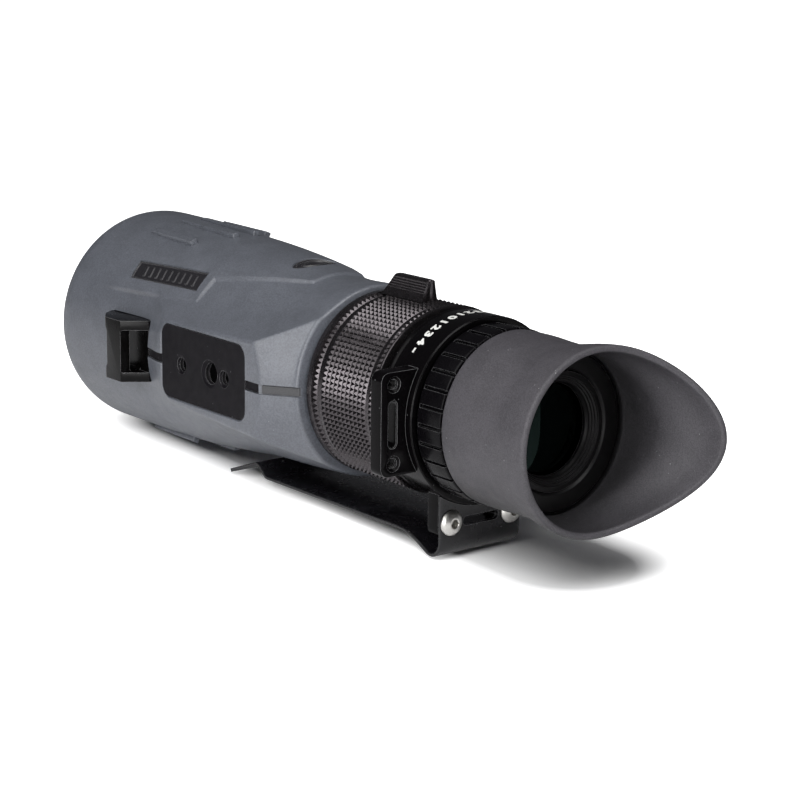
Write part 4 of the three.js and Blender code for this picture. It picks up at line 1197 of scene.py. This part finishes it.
# ------------------------------------------------------------------ objective group
def build_objective():
    r, front = CELL.right, CELL.front
    cell = turned("objective_cell_body", [
        (25.3, CELL.rear), (r, CELL.rear), (r, 124), (33, 124), (33, 126), (r, 126),
        (r, front, 0.2), (32.4, front, 0.2), (31.8, front - 1.2, 0.2), (28.2, front - 1.6, 0.2),
        (27.2, front - 0.4, 0.2), (26.6, front - 0.5, 0.1), (26.6, 120.3), (25.3, 120.3)])
    dress(cell, "body", "anodised_black", RING_FINISH, "objective_cell")
    lock = turned("objective_lock_ring_face", [
        (27.5, LOCK.rear), (r, LOCK.rear), (r, LOCK.front, 0.2), (29.2, LOCK.front, 0.3),
        (27.5, LOCK.rear + 0.5, 0.1)])
    dress(lock, "body", "anodised_black", HOUSING_FINISH, "objective_lock_ring")
    keeper = turned("objective_keeper_ring", [
        (25, KEEPER.rear), (26.4, KEEPER.rear), (26.4, KEEPER.front, 0.15),
        (25.6, KEEPER.front, 0.15), (25, KEEPER.front - 0.9, 0.2)])
    dress(keeper, "body", "anodised_black", HOUSING_FINISH, "objective_retaining_ring")
    dress(lens("objective_front_glass", CROWN, 2.2, 2.6), "body", "lens_glass", FRONT_GLASS,
          "objective_crown")


# --------------------------------------------------------- pieces kept from the CAD
KEPT = [
    (INNER_FINISH, ("main_tube", "prism_cage", "focus_cell", "focus_lens_ring", "reticle_cell",
                    "reticle_lock_ring", "ocular_spacer")),
    (SEAL_FINISH, ("objective_seal", "focus_front_seal", "focus_rear_seal")),
    (FRONT_GLASS, ("objective_flint", "focus_lens", "reticle_glass", "field_lens",
                   "ocular_doublet")),
    (PRISM_GLASS, ("first_prism", "roof_prism")),
    (MATT_FINISH, ("stray_light_baffle",)),
    (STEEL_FINISH, ("prism_clamp",)),
    (BRASS_FINISH, ("focus_pin",)),
]


def finish_kept():
    for material, nodes in KEPT:
        for node in nodes:
            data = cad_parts[node].data
            data.materials.clear()
            data.materials.append(material)


# -------------------------------------------------------------------- floor, light
AZIMUTH, ELEVATION, ROLL = math.radians(-38.64), math.radians(13.22), math.radians(0.69)
LENS, SENSOR = 97.4, 36.0
DISTANCE = 724.8  # millimetres from the middle of the picture's plane to the camera
AIM_RIGHT, AIM_UP = -6.63, 6.63  # where y = 0 on the axis stands from the picture's centre
FLOOR_TILT = math.radians(1.75)  # the scope leans on its clip and its front edge
FLOOR_GAIN = 0.9  # how bright the floor looks in the picture, as a share of its light
FLOOR_GLOW = 0.08  # light that comes up through the table
# Painted light: in the camera's view the table glows white away from a line under the scope, which
# trims its cast shadow to near that line.
# The line, in millimetres about the axis: its place across, its two ends, and how far off the glow
# starts and is full.
DARK_LINE = {"x": 17, "rear": -75, "front": 130, "near": 22, "far": 39}


def build_camera():
    level = math.cos(ELEVATION)
    back = Vector((math.sin(AZIMUTH) * level, -math.cos(AZIMUTH) * level, math.sin(ELEVATION)))
    right = (-back).cross(Vector((0, 0, 1))).normalized()
    up = right.cross(-back)
    right, up = (right * math.cos(ROLL) + up * math.sin(ROLL),
                 up * math.cos(ROLL) - right * math.sin(ROLL))
    place = ORIGIN + (back * DISTANCE - right * AIM_RIGHT - up * AIM_UP) * MM
    data = bpy.data.cameras.new("camera")
    data.lens = LENS
    data.sensor_width = SENSOR
    data.clip_start, data.clip_end = 0.01, 50
    camera = linked("camera", data)
    axes = Matrix((right, up, back)).transposed().to_4x4()
    camera.matrix_world = Matrix.Translation(place) @ axes
    bpy.context.scene.camera = camera


def build_floor():
    """A pale floor that the clip's two low edges rest on."""
    size = 6.0
    rest_y, rest_z = TAB_Y + 3.0, CLIP.bottom
    lean = math.tan(FLOOR_TILT)
    corners = []
    for x, y in ((-size, -size), (size, -size), (size, size), (-size, size)):
        z = (rest_z * MM + ORIGIN.z) + lean * (y - rest_y * MM)
        corners.append(Vector((x, y, z)))
    mesh = bpy.data.meshes.new("floor")
    mesh.from_pydata(corners, [], [(0, 1, 2, 3)])
    floor = linked("floor", mesh)
    material = bpy.data.materials.new("pale floor")
    n = Nodes(material)
    seen = n.add("LightPath").outputs["Is Camera Ray"]
    gain = n.mix(seen, (0.75, 0.75, 0.76, 1), (*[FLOOR_GAIN] * 3, 1))
    matt = n.add("BsdfDiffuse", {"Color": gain}).outputs[0]
    place = n.add("NewGeometry").outputs["Position"]
    x, y, _ = n.add("SeparateXYZ", {0: n.vector("SUBTRACT", place, ORIGIN, "Vector")}).outputs
    line = {key: value * MM for key, value in DARK_LINE.items()}
    ends = n.math("MINIMUM", n.math("MAXIMUM", y, line["rear"]), line["front"])
    off_line = n.add("CombineXYZ", {0: n.math("SUBTRACT", x, line["x"]),
                                    1: n.math("SUBTRACT", y, ends)}).outputs[0]
    # painted light: camera-seen glow that whitens the floor away from the line, hiding the shadow
    # there
    backdrop = n.remap(n.vector("LENGTH", off_line), line["near"], line["far"])
    glow = n.plus(n.times(seen, backdrop), n.times(n.math("SUBTRACT", 1.0, seen), FLOOR_GLOW))
    lit = n.add("Emission", {"Color": (1, 1, 1, 1), "Strength": glow}).outputs[0]
    both = n.add("AddShader", {0: matt, 1: lit}).outputs[0]
    n.add("OutputMaterial", {"Surface": both})
    mesh.materials.append(material)
    return floor


def build_world():
    world = bpy.data.worlds.new("studio")
    bpy.context.scene.world = world
    n = Nodes(world)
    seen = n.add("LightPath").outputs["Is Camera Ray"]
    glow = n.mix(seen, (0.06, 0.06, 0.065, 1), (1.0, 1.0, 1.0, 1))
    backdrop = n.add("Background", {"Color": glow, "Strength": 1.0}).outputs[0]
    n.add("OutputWorld", {"Surface": backdrop})


def softbox(name, direction, distance, size, power):
    """A square light that faces the scope from a direction, in metres and watts."""
    data = bpy.data.lights.new(name, "AREA")
    data.shape = "RECTANGLE"
    data.size = data.size_y = size
    data.energy = power
    light = linked(name, data)
    target = ORIGIN + Vector((0, 0.02, 0))
    away = Vector(direction).normalized()
    light.location = target + away * distance
    light.rotation_mode = "QUATERNION"
    light.rotation_quaternion = away.to_track_quat("Z", "Y")
    return light


def light_only(light, obj, state):
    """Makes a light reach an object alone (INCLUDE), or all but that object (EXCLUDE)."""
    receivers = bpy.data.collections.new(light.name + " receivers")
    receivers.objects.link(obj)
    receivers.collection_objects[0].light_linking.link_state = state
    light.light_linking.receiver_collection = receivers


def build_lights(floor):
    """Lights on the scope, and two overhead for the shadow it throws on the floor."""
    for state, *setting in (
            ("EXCLUDE", "upper left", (-0.6, 0.0, 0.8), 1.2, 0.8, 5),
            ("EXCLUDE", "upper rear", (0.0, -0.6, 0.8), 1.2, 0.8, 9),
            ("EXCLUDE", "left", (-1.0, -0.45, 0.45), 0.5, 0.35, 0.95),
            ("EXCLUDE", "low left", (-0.85, -0.6, 0.0), 0.5, 0.25, 0.9),
            ("INCLUDE", "floor left", (-1.0, -0.7, 1.0), 1.2, 0.7, 17),
            ("INCLUDE", "floor top", (-0.4, -0.5, 1.0), 1.2, 0.9, 8)):
        light_only(softbox(*setting), floor, state)


bpy.context.scene.view_settings.view_transform = "Standard"
build_armour()
build_sides()
build_focus()
build_housing()
build_eyepiece()
build_clip()
build_objective()
finish_kept()
build_camera()
floor = build_floor()
build_world()
build_lights(floor)
